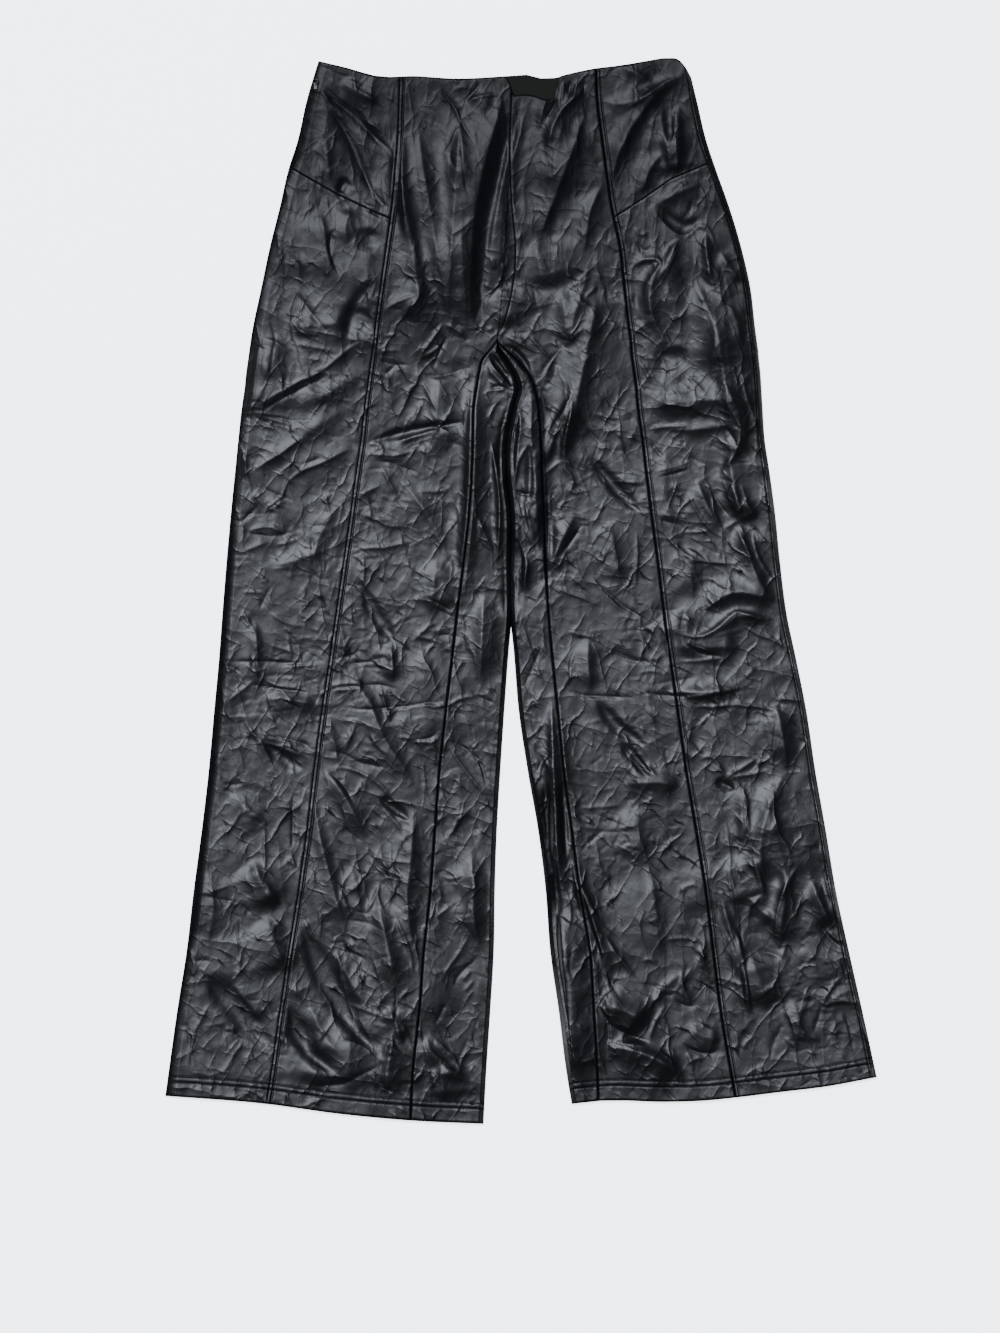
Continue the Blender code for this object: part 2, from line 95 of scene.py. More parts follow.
# Sections, from the waist to the hem.  Each row gives where a cut across the garment meets its edges and
# seams.  Above the crotch the two inseam columns are the centre-front seam and the two inner columns are
# the centre-back seam.  R is the wearer's right (-X), L the left (+X).
#   along  side R  princess R  inseam R  inner R  inner L  inseam L  princess L  side L
SECTIONS = (
    (535, -201.0, -120.0, -9.0, -8.0, -8.0, -9.0, 75.0, 165.0),
    (490, -214.5, -122.0, -10.0, -9.5, -9.5, -10.0, 76.5, 176.0),
    (450, -223.5, -123.5, -11.0, -11.0, -11.0, -11.0, 81.5, 185.5),
    (420, -233.0, -126.0, -10.5, -12.0, -12.0, -10.5, 85.5, 195.5),
    (385, -241.0, -129.0, -9.0, -13.5, -13.5, -9.0, 90.5, 208.0),
    (345, -251.0, -134.5, -5.5, -16.0, -16.0, -5.5, 99.0, 220.0),
    (300, -260.5, -141.0, -9.0, -19.0, -19.0, -9.0, 104.0, 230.0),
    (265, -268.0, -145.5, -18.0, -22.0, -22.0, -18.0, 108.0, 234.0),
    (250, -270.5, -147.0, -24.0, -23.5, -23.5, -24.0, 110.0, 236.0),
    (243, -271.5, -148.0, -29.0, -22.5, -22.5, -17.0, 110.5, 237.0),
    (232, -273.0, -149.5, -38.0, -16.0, -16.0, -4.5, 111.5, 238.0),
    (218, -275.0, -151.5, -42.0, -7.5, -7.5, 7.0, 113.5, 239.5),
    (203, -276.5, -153.5, -44.5, -3.0, -3.0, 13.0, 115.5, 240.5),
    (186, -279.0, -156.0, -47.0, -7.0, -7.0, 17.0, 117.0, 241.5),
    (150, -283.0, -160.0, -48.0, -14.0, -14.0, 20.0, 122.0, 244.0),
    (120, -286.0, -164.5, -49.0, -14.5, -14.5, 21.0, 125.5, 248.5),
    (75, -290.5, -170.5, -52.0, -10.0, -10.0, 23.0, 131.0, 254.5),
    (30, -294.5, -177.0, -57.0, -10.3, -10.3, 24.5, 137.0, 259.0),
    (-30, -299.3, -185.8, -64.6, -10.0, -10.0, 28.3, 144.3, 267.0),
    (-60, -301.5, -190.0, -68.0, -12.6, -7.0, 31.0, 148.5, 273.5),
    (-120, -307.0, -199.0, -75.0, -17.0, -2.0, 37.0, 157.0, 285.5),
    (-180, -312.5, -207.0, -81.5, -21.0, 7.0, 43.0, 165.5, 294.5),
    (-240, -319.5, -214.0, -86.0, -24.5, 17.5, 51.0, 175.5, 305.0),
    (-300, -327.5, -222.5, -90.5, -26.5, 25.0, 59.0, 185.0, 315.0),
    (-360, -334.5, -232.0, -97.0, -27.5, 29.5, 69.0, 192.5, 328.0),
    (-420, -344.0, -241.0, -101.5, -31.0, 38.0, 73.0, 200.0, 341.5),
    (-480, -352.4, -249.5, -108.0, -35.0, 45.5, 76.5, 210.0, 354.5),
    (-535, -359.9, -258.0, -110.5, -38.0, 55.0, 78.5, 220.0, 366.0),
)
COLUMNS = ("along", "side_R", "princess_R", "inseam_R", "inner_R",
           "inner_L", "inseam_L", "princess_L", "side_L")

# Edges that run across, as (across, along) points
WAIST = ((-202, 530), (-173, 523), (-144, 515), (-105, 515), (-66, 512.5), (-13, 515), (10, 516),
         (26, 511.5), (43, 516), (70, 522), (101, 526), (128, 530.5), (146, 533), (158, 531), (165, 523),
         (171, 512))
YOKE_SEAM = ((-233, 425), (-188, 399), (-155, 383), (-130, YOKE_AT), (91, YOKE_AT), (126, 395),
             (150, 412), (188, 428))
HEM = {
    "R": ((-356, -505), (-255, -513), (-182, -523), (-105, -530), (-37, -533)),
    "L": ((51, -513), (78, -510), (146, -511), (180, -510), (221, -506), (261, -501), (303, -496),
          (357, -486)),
}

# The front's waist edge sags between these places across, and the facing of the back shows there
SAG = (-16.0, -6.0, 31.0, 40.0)     # starts, is full, is full, ends
SAG_DEPTH = 20.0
SAG_REACH = 46.0                    # down from the waist to where the cloth has taken the sag up

# The largest folds of the upper layer, as in the solids: start, end, sideways bow, half width, height
FOLDS = (
    (-117, 412, -78, 250, 4, 9.0, -2.6),
    (-96, 405, -62, 262, 4, 10.0, 2.8),
    (69, 495, 24, 345, 4, 8.0, -2.7),
    (46, 480, 8, 350, 4, 11.0, 2.6),
    (168, 515, 98, 484, -3, 9.0, 3.6),
    (143, 500, 93, 410, -5, 9.0, -2.7),
    (134, 472, 116, 404, 2, 9.0, 3.2),
    (-178, 486, -128, 442, 3, 9.0, 3.0),
    (-180, 470, -140, 418, 4, 7.0, -2.4),
    (-272, 181, -151, 250, 6, 9.0, 3.2),
    (-262, 118, -170, 184, 5, 9.0, 2.6),
    (-160, 147, -58, 168, 5, 8.0, -2.4),
    (-150, 232, -86, 214, -4, 12.0, 3.0),
    (177, 311, 223, 122, 12, 12.0, -2.7),
    (205, 262, 240, 150, 8, 10.0, 3.4),
    (82, 272, 48, 142, 5, 9.0, -2.6),
    (54, 200, 24, 140, 3, 9.0, 3.0),
    (140, 381, 178, 345, -8, 10.0, 3.0),
    (149, -38, 222, -3, 6, 9.0, 3.8),
    (150, -14, 214, 16, 5, 8.0, -2.4),
    (153, -107, 222, -98, 3, 9.0, 2.6),
    (71, -112, 130, -158, 3, 9.0, 2.6),
    (-168, -70, -98, -196, 6, 9.0, -2.7),
    (-150, -52, -84, -150, 5, 10.0, 3.0),
    (-268, -124, -202, -112, 3, 9.0, 2.4),
    (-190, -118, -80, -116, 3, 9.0, -2.2),
    (-226, -338, -129, -470, 5, 13.0, -2.7),
    (-206, -300, -112, -408, 5, 15.0, 3.4),
    (-318, -372, -252, -452, 4, 11.0, -2.4),
    (-84, -395, -50, -335, 3, 11.0, 2.8),
    (196, -222, 160, -330, 5, 12.0, 2.8),
    (100, -252, 128, -420, 6, 14.0, 2.8),
    (262, -190, 300, -400, 8, 14.0, 2.6),
    (232, -300, 262, -440, 5, 11.0, -2.4),
)
FOLD_END = 1.5                      # how many half widths a fold takes to fade at its ends
TIP_WIDTH = 0.4                     # of a crease at its two tips, as a share of its middle
TAPER = 0.34                        # share of its length over which a crease comes up from each tip
SHARP_REACH = 4.0                   # half widths from the path to where a sharp crease is cut off,
SOFT_REACH = 2.6                    # and a soft one
SIDE_BLEND = 1.4                    # how quickly one side's half width becomes the other's round a tip
WANDER = 0.8                        # how far the sharp creases stray from their paths
WANDER_CELL = 16                    # and over what length
FOLD_SHARE = 0.15                   # of their height, that is left once the creases below take up the rest

# Creases with a sharp crest or bottom: half width, height (negative for a trough), then the points of the
# path on the board, right and down in turn
SHARP = (
    # right yoke
    (2.6, 1.1, 320, 82, 342, 100, 361, 118, 377, 128, 393, 140),
    (2.6, -1.2, 318, 84, 337, 104, 353, 112, 365, 125, 380, 147, 393, 156),
    (6, -2.5, 320, 84, 332, 93, 346, 104, 360, 116, 374, 131),
    (2.2, 0.8, 352, 84, 361, 92, 370, 97, 384, 108), (2.2, 0.9, 315, 85, 332, 107, 342, 123),
    (2.2, -1, 313, 88, 325, 100, 337, 119, 349, 137, 358, 154, 370, 192, 384, 206),
    (4.6, -2.5, 326, 92, 344, 108, 362, 124, 379, 141, 398, 156),
    (6.5, -2.6, 328, 100, 344, 130, 354, 152, 363, 174, 374, 192, 388, 208),
    (3, 0.75, 320, 160, 322, 176, 318, 194), (2.2, -0.75, 344, 180, 339, 194),
    (2.6, 0.8, 361, 203, 370, 209, 384, 210),
    # right centre panel, under the waist
    (2.6, -1.5, 481, 80, 474, 92, 461, 105), (2.6, -1.5, 440, 84, 446, 96, 454, 108, 462, 124, 476, 144),
    (2.2, 0.8, 452, 92, 462, 86, 472, 90), (2.2, 1.1, 462, 104, 479, 96, 490, 94, 503, 96),
    (2.2, -0.8, 460, 130, 464, 182, 469, 199), (2.2, -0.8, 452, 146, 449, 158, 456, 170),
    # left centre panel, under the waist
    (2.2, 1.2, 578, 78, 575, 92, 572, 104), (2.2, 1.2, 564, 80, 563, 92, 561, 106),
    (2, -0.9, 570, 80, 568, 100), (2, -0.9, 586, 80, 584, 96), (2.6, -1.4, 558, 96, 552, 108, 545, 120),
    # left yoke
    (3, 1.5, 688, 75, 668, 80, 656, 88, 648, 95, 624, 111), (2.6, 1, 677, 105, 675, 142),
    (2.2, 0.75, 700, 184, 706, 198, 702, 214), (2.2, -0.75, 694, 196, 690, 212, 680, 222),
    (2.2, 0.9, 671, 197, 677, 186, 692, 176),
    # right hip
    (3, -1.4, 337, 222, 329, 240, 331, 260, 342, 279), (2.2, 0.8, 446, 236, 458, 232, 479, 213),
    (2.2, 0.8, 489, 256, 497, 270), (2.2, 0.75, 482, 284, 497, 290),
    (2.6, -1, 291, 288, 304, 305, 319, 324, 333, 337), (2.2, 0.9, 382, 311, 399, 301, 420, 293),
    (2.2, 0.8, 293, 320, 304, 330, 315, 322), (2.6, 1.1, 443, 324, 454, 329, 467, 337),
    (2.2, 0.75, 486, 331, 496, 328), (2.2, 0.75, 291, 334, 306, 333, 321, 337),
    (2.2, 0.8, 382, 336, 398, 333),
    # left hip
    (3, 1.2, 650, 208, 668, 227, 678, 236, 687, 236, 699, 225, 710, 228, 716, 252),
    (2.2, 0.8, 633, 226, 641, 236, 650, 230), (2.6, 1, 678, 236, 675, 246, 670, 263, 662, 277),
    (2.2, -0.8, 635, 240, 644, 252, 652, 246), (2.2, 0.8, 502, 262, 506, 272),
    (2.2, -0.75, 504, 273, 513, 287),
    (2.6, 1.1, 622, 275, 642, 260, 656, 258, 663, 263, 654, 274, 645, 286, 645, 302),
    (2.2, 0.75, 500, 291, 514, 292), (2.2, 0.8, 565, 293, 578, 282, 592, 277),
    (2.2, 0.75, 494, 298, 508, 298, 518, 303, 532, 304), (2.2, 0.8, 583, 299, 598, 285),
    (2.2, 0.8, 512, 314, 521, 328), (2.2, 0.8, 630, 319, 640, 326, 652, 335), (2.2, 1, 502, 336, 528, 342),
    (3, 1.5, 560, 350, 572, 338, 585, 327),
    # crotch and the inner strips of both legs
    (2.6, 1.1, 525, 332, 551, 360), (2.2, 1, 507, 338, 524, 345, 538, 353),
    (2.2, 1.2, 497, 347, 505, 358, 512, 370, 520, 382, 522, 396),
    (2.6, -1.3, 492, 350, 500, 363, 510, 375, 519, 386), (1.8, -1, 560, 350, 548, 362, 540, 376),
    (2.2, 1.2, 484, 355, 495, 368, 505, 378, 515, 388, 521, 397), (2, 0.75, 486, 380, 500, 387),
    (1.8, -1, 486, 392, 500, 384, 516, 394), (2, 0.75, 478, 396, 497, 388, 521, 395),
    (2.2, 1, 530, 440, 520, 456, 514, 470, 512, 490), (2.2, 1, 492, 442, 500, 470, 506, 492, 509, 512),
    (2.2, 0.9, 540, 475, 552, 468, 564, 459), (2.2, 0.9, 547, 488, 549, 530, 548, 572),
    (1.8, -1, 510, 490, 522, 494, 534, 496), (2.2, 1, 512, 492, 520, 520, 538, 558),
    (2.2, -0.9, 514, 492, 524, 495, 538, 494), (2.6, -1.3, 513, 534, 520, 556, 519, 582),
    (2.2, 0.9, 523, 556, 528, 566, 522, 582),
    # right thigh
    (2.2, -0.9, 267, 312, 276, 339, 272, 355, 269, 380), (2.6, 1.2, 444, 324, 431, 340, 420, 359),
    (2.2, -0.9, 448, 334, 440, 352, 432, 371), (2.2, 0.75, 289, 343, 310, 346, 338, 353),
    (2.2, 0.8, 378, 352, 399, 350), (2.2, -0.8, 375, 360, 392, 364, 412, 366),
    (2.2, 0.9, 416, 360, 435, 352, 445, 339), (2.6, -1.1, 416, 371, 431, 376, 444, 376, 461, 370, 476, 365),
    (2.2, -0.9, 384, 376, 395, 364), (2.2, 0.9, 421, 379, 429, 394, 437, 413),
    (2.2, 0.8, 423, 398, 411, 429),
    (3, 1.3, 248, 411, 275, 395, 300, 381, 321, 371, 340, 356, 352, 346, 372, 338),
    (2, 0.8, 248, 412, 270, 414, 293, 418), (2, 0.8, 250, 414, 272, 420, 297, 425),
    (2.2, -1, 254, 414, 280, 400, 306, 386, 332, 372), (2, 0.75, 250, 417, 262, 425, 274, 431),
    (2.2, 0.9, 392, 442, 416, 437, 442, 427), (2.2, 0.9, 364, 446, 375, 442, 385, 450, 376, 459),
    (2.2, 0.9, 405, 446, 438, 436), (2.2, 0.8, 360, 454, 379, 454, 397, 456, 418, 448),
    (2.2, -0.9, 373, 459, 394, 464, 420, 474), (2.6, 1, 379, 463, 388, 478, 394, 492, 400, 499),
    (2.2, -0.9, 300, 465, 323, 456), (2.6, 1.1, 246, 476, 261, 466, 282, 452, 314, 432),
    (2.2, -0.8, 257, 481, 270, 493, 297, 502), (2.6, 1.1, 284, 486, 302, 470, 325, 461, 341, 453, 360, 448),
    (2.2, 0.9, 324, 490, 331, 516), (2.2, 0.8, 414, 492, 440, 492, 453, 485),
    (2.2, 0.8, 356, 498, 369, 490, 382, 485), (2.2, 0.8, 360, 511, 377, 520, 394, 520),
    (2.2, 0.75, 266, 513, 287, 500), (2.2, -0.9, 229, 532, 248, 514, 261, 504),
    (2.2, 0.9, 246, 532, 268, 526, 287, 534), (2.2, -0.8, 246, 533, 270, 537, 300, 530),
    (2.2, -0.8, 311, 536, 314, 568), (2.2, 0.75, 274, 545, 300, 539),
    (2.6, 1, 350, 551, 373, 548, 388, 548, 407, 542, 420, 538), (2.2, 0.75, 240, 552, 272, 541),
    (2.2, 0.8, 440, 591, 459, 604), (2, 0.7, 239, 592, 267, 592), (2.2, -0.8, 259, 611, 271, 585),
    # left thigh
    (2.2, -1.1, 569, 334, 560, 352), (2.2, 0.8, 638, 358, 654, 358, 674, 363),
    (2.6, 1.3, 742, 358, 742, 380, 750, 402, 760, 426, 760, 446), (2.2, 0.8, 637, 361, 648, 378, 653, 384),
    (2.2, -0.9, 644, 370, 672, 370, 692, 353), (2.2, 0.8, 686, 375, 706, 395),
    (2.6, 1.3, 564, 385, 574, 394, 560, 414, 550, 430, 543, 444),
    (2.6, 1.3, 719, 392, 736, 418, 742, 430, 738, 452, 722, 472, 719, 480),
    (2.6, 1.4, 575, 395, 570, 414, 566, 434, 564, 450, 563, 462), (2.2, 0.9, 592, 413, 606, 417, 622, 418),
    (2.2, -1, 722, 425, 732, 436, 739, 450), (2.6, -0.9, 586, 427, 601, 446),
    (2.2, 1.1, 644, 431, 662, 428, 680, 426, 694, 426), (2.2, -0.8, 648, 441, 666, 461),
    (2.6, 1.1, 561, 464, 574, 480, 570, 494, 592, 490), (2.2, 0.8, 652, 472, 676, 467, 696, 459),
    (1.6, -0.9, 652, 478, 670, 474, 690, 469), (2.2, 0.8, 650, 479, 672, 472, 692, 465),
    (3, 1.2, 758, 480, 770, 490, 774, 514, 770, 532), (2.2, 0.8, 741, 481, 746, 502, 756, 518),
    (2.2, 0.8, 606, 482, 648, 482), (2.6, 1, 692, 485, 690, 498, 698, 514, 712, 532, 728, 539),
    (2.2, -0.9, 705, 485, 720, 506, 732, 519), (2.6, 1.1, 606, 496, 628, 500, 652, 517),
    (1.6, -0.9, 656, 511, 676, 513, 694, 512), (2.2, 0.8, 654, 512, 698, 512),
    (2.6, 1.2, 655, 518, 668, 538, 690, 560, 710, 562, 750, 564), (2.2, -0.75, 656, 519, 682, 525),
    (2.2, 0.9, 551, 521, 568, 514, 592, 521), (2.6, 1.1, 735, 524, 748, 550, 757, 566),
    (2.2, 1, 754, 526, 754, 540, 760, 560, 777, 582), (2.2, 0.9, 636, 528, 637, 560, 636, 592),
    (2.2, 0.75, 722, 529, 740, 519), (2.2, 0.75, 682, 532, 706, 532), (2.6, -1.2, 559, 557, 584, 523),
    (2.2, 0.75, 598, 566, 612, 541), (1.7, -0.95, 590, 574, 612, 600, 650, 622),
    (2.2, 0.8, 590, 576, 614, 604, 627, 616), (2, 0.75, 546, 584, 571, 593, 604, 608),
    # right knee
    (1.8, -1.1, 424, 597, 440, 604, 457, 613), (2.2, -0.8, 431, 606, 459, 619),
    (2.2, 0.8, 240, 607, 258, 639), (2.2, 0.8, 267, 610, 286, 624, 305, 627),
    (2.2, 0.9, 412, 639, 427, 637, 446, 645, 453, 654), (1.7, -0.9, 430, 640, 446, 634, 460, 638),
    (2.2, 0.7, 260, 641, 303, 655), (2.2, 0.9, 412, 642, 424, 630, 439, 621),
    (2.2, -0.7, 253, 643, 260, 681), (2.2, 0.8, 392, 650, 395, 673),
    (2.2, -0.8, 333, 658, 356, 656, 362, 642), (2, 0.7, 334, 660, 345, 668),
    (1.7, -0.95, 222, 662, 268, 661, 318, 664), (2, -0.7, 220, 664, 243, 674),
    (1.7, -0.95, 340, 665, 368, 662, 394, 655), (2, 0.7, 280, 667, 324, 664),
    (1.7, -0.95, 244, 683, 282, 690, 322, 694), (2.2, 0.7, 269, 684, 301, 690, 324, 697),
    (2.6, 1.3, 378, 684, 384, 701, 391, 724), (2.2, 0.8, 325, 687, 354, 682, 367, 689),
    (1.6, -0.9, 334, 689, 372, 684, 402, 690), (1.6, -0.9, 470, 690, 482, 700, 498, 704),
    (2.2, 0.8, 327, 692, 344, 690, 363, 687), (2.2, -0.8, 275, 699, 290, 703, 302, 709),
    (2.6, 1, 224, 702, 240, 692, 256, 678), (1.7, -1, 336, 708, 384, 710, 452, 700),
    (2, 0.9, 374, 711, 399, 711, 420, 705, 442, 707, 461, 699, 484, 694, 500, 696),
    (2.2, 0.9, 240, 712, 248, 728, 265, 746, 276, 775), (1.7, -1, 226, 716, 270, 713, 318, 706),
    (2, 0.8, 218, 718, 258, 714, 290, 710, 322, 706), (2.2, 0.9, 357, 718, 350, 736, 343, 754),
    (2.2, 0.8, 240, 728, 254, 735, 297, 743, 316, 749), (2.2, 0.9, 368, 730, 378, 746, 390, 757),
    (1.6, -0.9, 262, 735, 296, 741, 322, 752), (2.6, 1, 393, 735, 416, 741, 437, 743, 445, 730),
    (2.2, 0.9, 443, 740, 461, 765, 490, 801), (2.2, -0.8, 445, 740, 473, 752, 486, 774),
    (2.2, 0.8, 258, 741, 286, 750, 311, 759), (1.6, -0.9, 404, 741, 428, 739, 441, 731),
    (1.6, -0.9, 468, 742, 480, 764, 490, 790), (2.2, -0.8, 320, 750, 339, 752, 361, 763, 395, 770),
    (2, 0.75, 482, 751, 501, 755), (2.2, 0.9, 423, 753, 435, 746, 438, 767),
    (2.6, -1.3, 322, 764, 344, 786, 355, 807), (2.6, 1.1, 325, 767, 356, 769, 376, 780, 401, 808),
    (2, -0.7, 220, 784, 245, 784), (2.2, 0.9, 374, 798, 390, 812, 414, 825),
    # left knee
    (2.2, 0.8, 517, 616, 530, 650, 547, 696), (2.2, 1, 740, 623, 756, 633, 775, 640, 792, 650),
    (3, 1.7, 670, 630, 684, 635, 700, 638, 716, 629, 727, 618, 736, 611, 745, 613, 761, 618, 783, 619),
    (2.2, 0.9, 566, 631, 582, 636, 600, 638), (2.6, -1.1, 682, 642, 702, 654, 727, 658),
    (2.2, -0.7, 600, 647, 625, 656, 643, 661, 666, 665), (1.6, -0.95, 600, 650, 630, 661, 660, 664),
    (2.2, 0.75, 675, 661, 698, 661, 727, 658), (2.2, 0.75, 637, 674, 652, 671, 668, 674),
    (2.2, 0.8, 744, 680, 757, 664), (2.2, -0.8, 520, 690, 532, 668, 546, 640),
    (1.7, -0.95, 560, 690, 590, 697, 640, 697), (1.7, -1, 640, 692, 668, 697, 700, 694),
    (2.6, 1.4, 680, 697, 696, 696, 709, 695, 747, 686), (2.2, 1.1, 773, 700, 788, 698, 803, 701),
    (2.2, 1, 682, 706, 720, 707, 732, 704, 759, 706, 775, 710, 799, 703),
    (2.2, 0.9, 776, 716, 774, 745, 772, 776), (2.2, 0.8, 526, 740, 541, 752, 556, 780),
    (2.6, -1.2, 618, 743, 634, 764, 650, 780), (2.2, 1, 634, 748, 646, 764, 659, 778),
    (2.6, 1.1, 697, 761, 713, 755, 720, 767, 728, 779), (2.2, -0.8, 530, 776, 544, 760, 556, 744),
    (2.6, 1.1, 724, 777, 743, 767, 762, 755), (2.2, 0.9, 726, 778, 748, 775, 772, 769),
    (2.2, 0.9, 743, 781, 745, 808, 753, 844), (2.2, -0.8, 712, 783, 725, 783, 738, 792),
    (2.2, 0.8, 578, 806, 593, 808, 622, 805),
    # lower right leg
    (2.2, 0.9, 380, 806, 394, 820, 404, 837), (2.2, 0.9, 264, 820, 265, 877),
    (2.2, -0.8, 342, 826, 363, 843), (2.2, 0.9, 364, 847, 378, 859, 416, 864),
    (2.6, -1, 289, 856, 294, 837, 292, 793), (2.2, 0.8, 284, 858, 299, 868),
    (2.2, 0.8, 377, 859, 388, 866, 403, 878), (2, 0.75, 382, 868, 392, 874, 408, 880),
    (2, -0.7, 384, 872, 394, 866, 404, 876), (2, 0.7, 440, 876, 452, 880, 466, 872),
    (2.2, 1, 264, 880, 270, 889, 279, 900), (2.2, 1.2, 379, 880, 378, 898, 384, 912),
    (2.2, 1.1, 338, 884, 344, 900, 352, 915), (2.2, 1.1, 266, 888, 272, 897, 282, 905),
    (2.2, 0.9, 343, 888, 357, 890, 358, 880), (2, 0.7, 206, 894, 232, 884),
    (2, -0.9, 199, 896, 218, 899, 241, 903), (2, 0.7, 316, 900, 322, 922, 318, 946),
    (2, -0.75, 240, 903, 252, 914), (2, 0.8, 453, 904, 444, 911, 433, 919),
    (2, -0.75, 346, 906, 358, 912, 370, 914), (2.2, 1.1, 392, 906, 400, 926, 409, 950, 415, 978),
    (2, -0.75, 400, 908, 410, 904, 416, 902), (2.2, 1.1, 366, 914, 374, 900, 378, 888),
    (2.2, 0.8, 302, 918, 310, 930, 314, 944), (2, 0.8, 472, 928, 460, 953, 449, 967, 438, 987),
    (2, 0.75, 342, 938, 352, 950, 366, 956), (2, 0.75, 336, 944, 341, 972, 340, 1000),
    (2, -0.75, 340, 950, 352, 952, 368, 960), (2, -0.75, 481, 954, 460, 974, 450, 991),
    (2, -0.9, 385, 961, 395, 981, 397, 1004, 393, 1032, 397, 1048, 410, 1056),
    (2, -0.7, 188, 964, 202, 960, 214, 964), (2, 0.7, 196, 968, 206, 972, 214, 980),
    (2, 0.75, 462, 982, 472, 970), (2, 0.7, 463, 992, 475, 979),
    (2, 0.75, 339, 1001, 353, 1006, 367, 1011, 383, 1017, 400, 1020, 425, 1018),
    (2, -0.75, 447, 1001, 439, 1018, 434, 1026), (2, 0.7, 260, 1006, 270, 1018, 276, 1022),
    (2, -0.7, 178, 1010, 186, 1030, 190, 1054), (2, 0.7, 402, 1020, 408, 1038, 416, 1046),
    (2, -0.75, 478, 1026, 474, 1037, 480, 1046),
    (2.2, 1.1, 424, 1029, 435, 1039, 444, 1048, 456, 1060, 464, 1076),
    (2, 0.7, 188, 1040, 198, 1023, 210, 1003), (2, 0.7, 186, 1070, 190, 1048, 196, 1030),
    (2, 0.7, 222, 1078, 230, 1060, 244, 1040), (2.2, -0.9, 378, 1080, 385, 1087, 394, 1094),
    (2.2, -0.9, 307, 1086, 330, 1085, 344, 1083, 360, 1076, 376, 1067, 388, 1061),
    (2, 0.7, 466, 1098, 474, 1108, 482, 1100), (2, 0.7, 282, 1104, 302, 1108, 318, 1100, 339, 1095),
    # lower left leg
    (2.2, 1.1, 552, 796, 553, 842, 552, 888), (2.2, -0.8, 646, 805, 661, 824, 678, 843),
    (2.2, -0.75, 598, 820, 618, 822), (2.2, 0.75, 618, 828, 641, 824), (2.2, 0.7, 642, 840, 654, 889),
    (2.2, 0.75, 614, 843, 628, 850, 641, 863), (2.2, 0.8, 798, 846, 822, 845),
    (2.2, -0.8, 578, 854, 593, 840, 604, 830), (2.2, 1, 751, 855, 761, 876, 767, 898),
    (2.2, 0.9, 737, 860, 760, 856), (2.2, -0.9, 737, 860, 748, 859, 760, 856),
    (2.2, 0.8, 727, 862, 732, 898, 736, 924), (2.2, 0.9, 752, 862, 760, 881, 766, 898),
    (2.6, 1.2, 798, 864, 789, 882, 778, 903), (2.6, 1.2, 822, 870, 828, 888, 833, 906, 843, 931),
    (2.6, 1.3, 790, 872, 780, 903, 775, 927, 778, 941), (2, 0.8, 566, 886, 572, 912, 566, 936),
    (2.2, 1.1, 582, 888, 590, 908, 600, 922), (2, 0.7, 676, 894, 690, 884, 702, 888),
    (2.2, -1, 739, 903, 741, 946, 748, 975, 753, 1004, 756, 1020),
    (2.2, 0.9, 726, 912, 743, 950, 748, 990, 749, 1022),
    (2.2, -1, 720, 915, 736, 951, 741, 975, 744, 1004, 744, 1030), (2.6, -1.3, 814, 919, 828, 936, 845, 949),
    (6, -2.7, 586, 922, 600, 955, 612, 985, 622, 1003), (2.2, 1.2, 603, 930, 619, 958, 640, 982),
    (2.2, 1.2, 828, 930, 836, 938, 846, 943), (2, 0.7, 664, 940, 682, 938, 700, 940),
    (2, -0.75, 574, 942, 568, 964, 574, 984), (2, 0.7, 690, 942, 698, 950, 704, 956),
    (2.2, -0.8, 756, 950, 770, 953, 784, 959), (2, 0.7, 820, 956, 832, 966, 836, 980),
    (2, 0.7, 836, 958, 842, 966, 846, 978), (2, 0.7, 640, 962, 652, 958, 660, 968),
    (2.2, 0.8, 780, 962, 788, 940), (2.2, -1.1, 694, 979, 708, 987, 722, 997),
    (2.2, -0.8, 638, 983, 660, 987, 678, 989), (2.2, -0.8, 658, 993, 668, 996, 676, 993),
    (2.2, 1, 675, 993, 686, 977, 694, 966), (2, 0.7, 760, 994, 772, 986, 784, 990),
    (2.2, 1, 826, 994, 837, 984, 841, 975), (2.2, -1, 672, 1000, 686, 1006, 700, 1006),
    (2.2, -0.9, 824, 1002, 818, 1018, 812, 1034), (2.2, -0.8, 843, 1002, 852, 1032, 854, 1058),
    (2.2, 1.1, 823, 1005, 842, 1001, 861, 1003), (6, -2.5, 598, 1012, 612, 1026, 634, 1038, 654, 1042),
    (2, 0.7, 800, 1018, 806, 1002, 812, 988), (2, 0.8, 576, 1022, 584, 1030, 592, 1026),
    (2.2, 0.9, 734, 1030, 738, 1040, 736, 1052), (2.2, -1, 742, 1030, 752, 1038),
    (2.2, 0.75, 799, 1031, 820, 1041), (2.2, 0.8, 783, 1036, 797, 1050),
    (2.2, 1.3, 610, 1040, 622, 1043, 631, 1044, 650, 1046),
    (2.6, -1.4, 682, 1041, 693, 1052, 712, 1054, 722, 1046),
    (2.2, 1.1, 649, 1046, 652, 1028, 660, 1013, 668, 1003), (2.2, 0.9, 686, 1048, 692, 1064, 692, 1078),
    (2.2, 1, 566, 1050, 578, 1064, 592, 1059, 604, 1058), (2, 0.75, 742, 1052, 748, 1040, 756, 1034),
    (2, 0.7, 852, 1058, 858, 1068, 866, 1074), (2, 0.7, 759, 1062, 764, 1082),
    (2.2, -0.8, 770, 1063, 772, 1042, 785, 1022), (2, 0.7, 828, 1064, 830, 1074, 826, 1082),
    (2.2, 0.9, 686, 1065, 696, 1059, 705, 1056), (2.2, -0.9, 662, 1087, 669, 1095, 678, 1102),
)

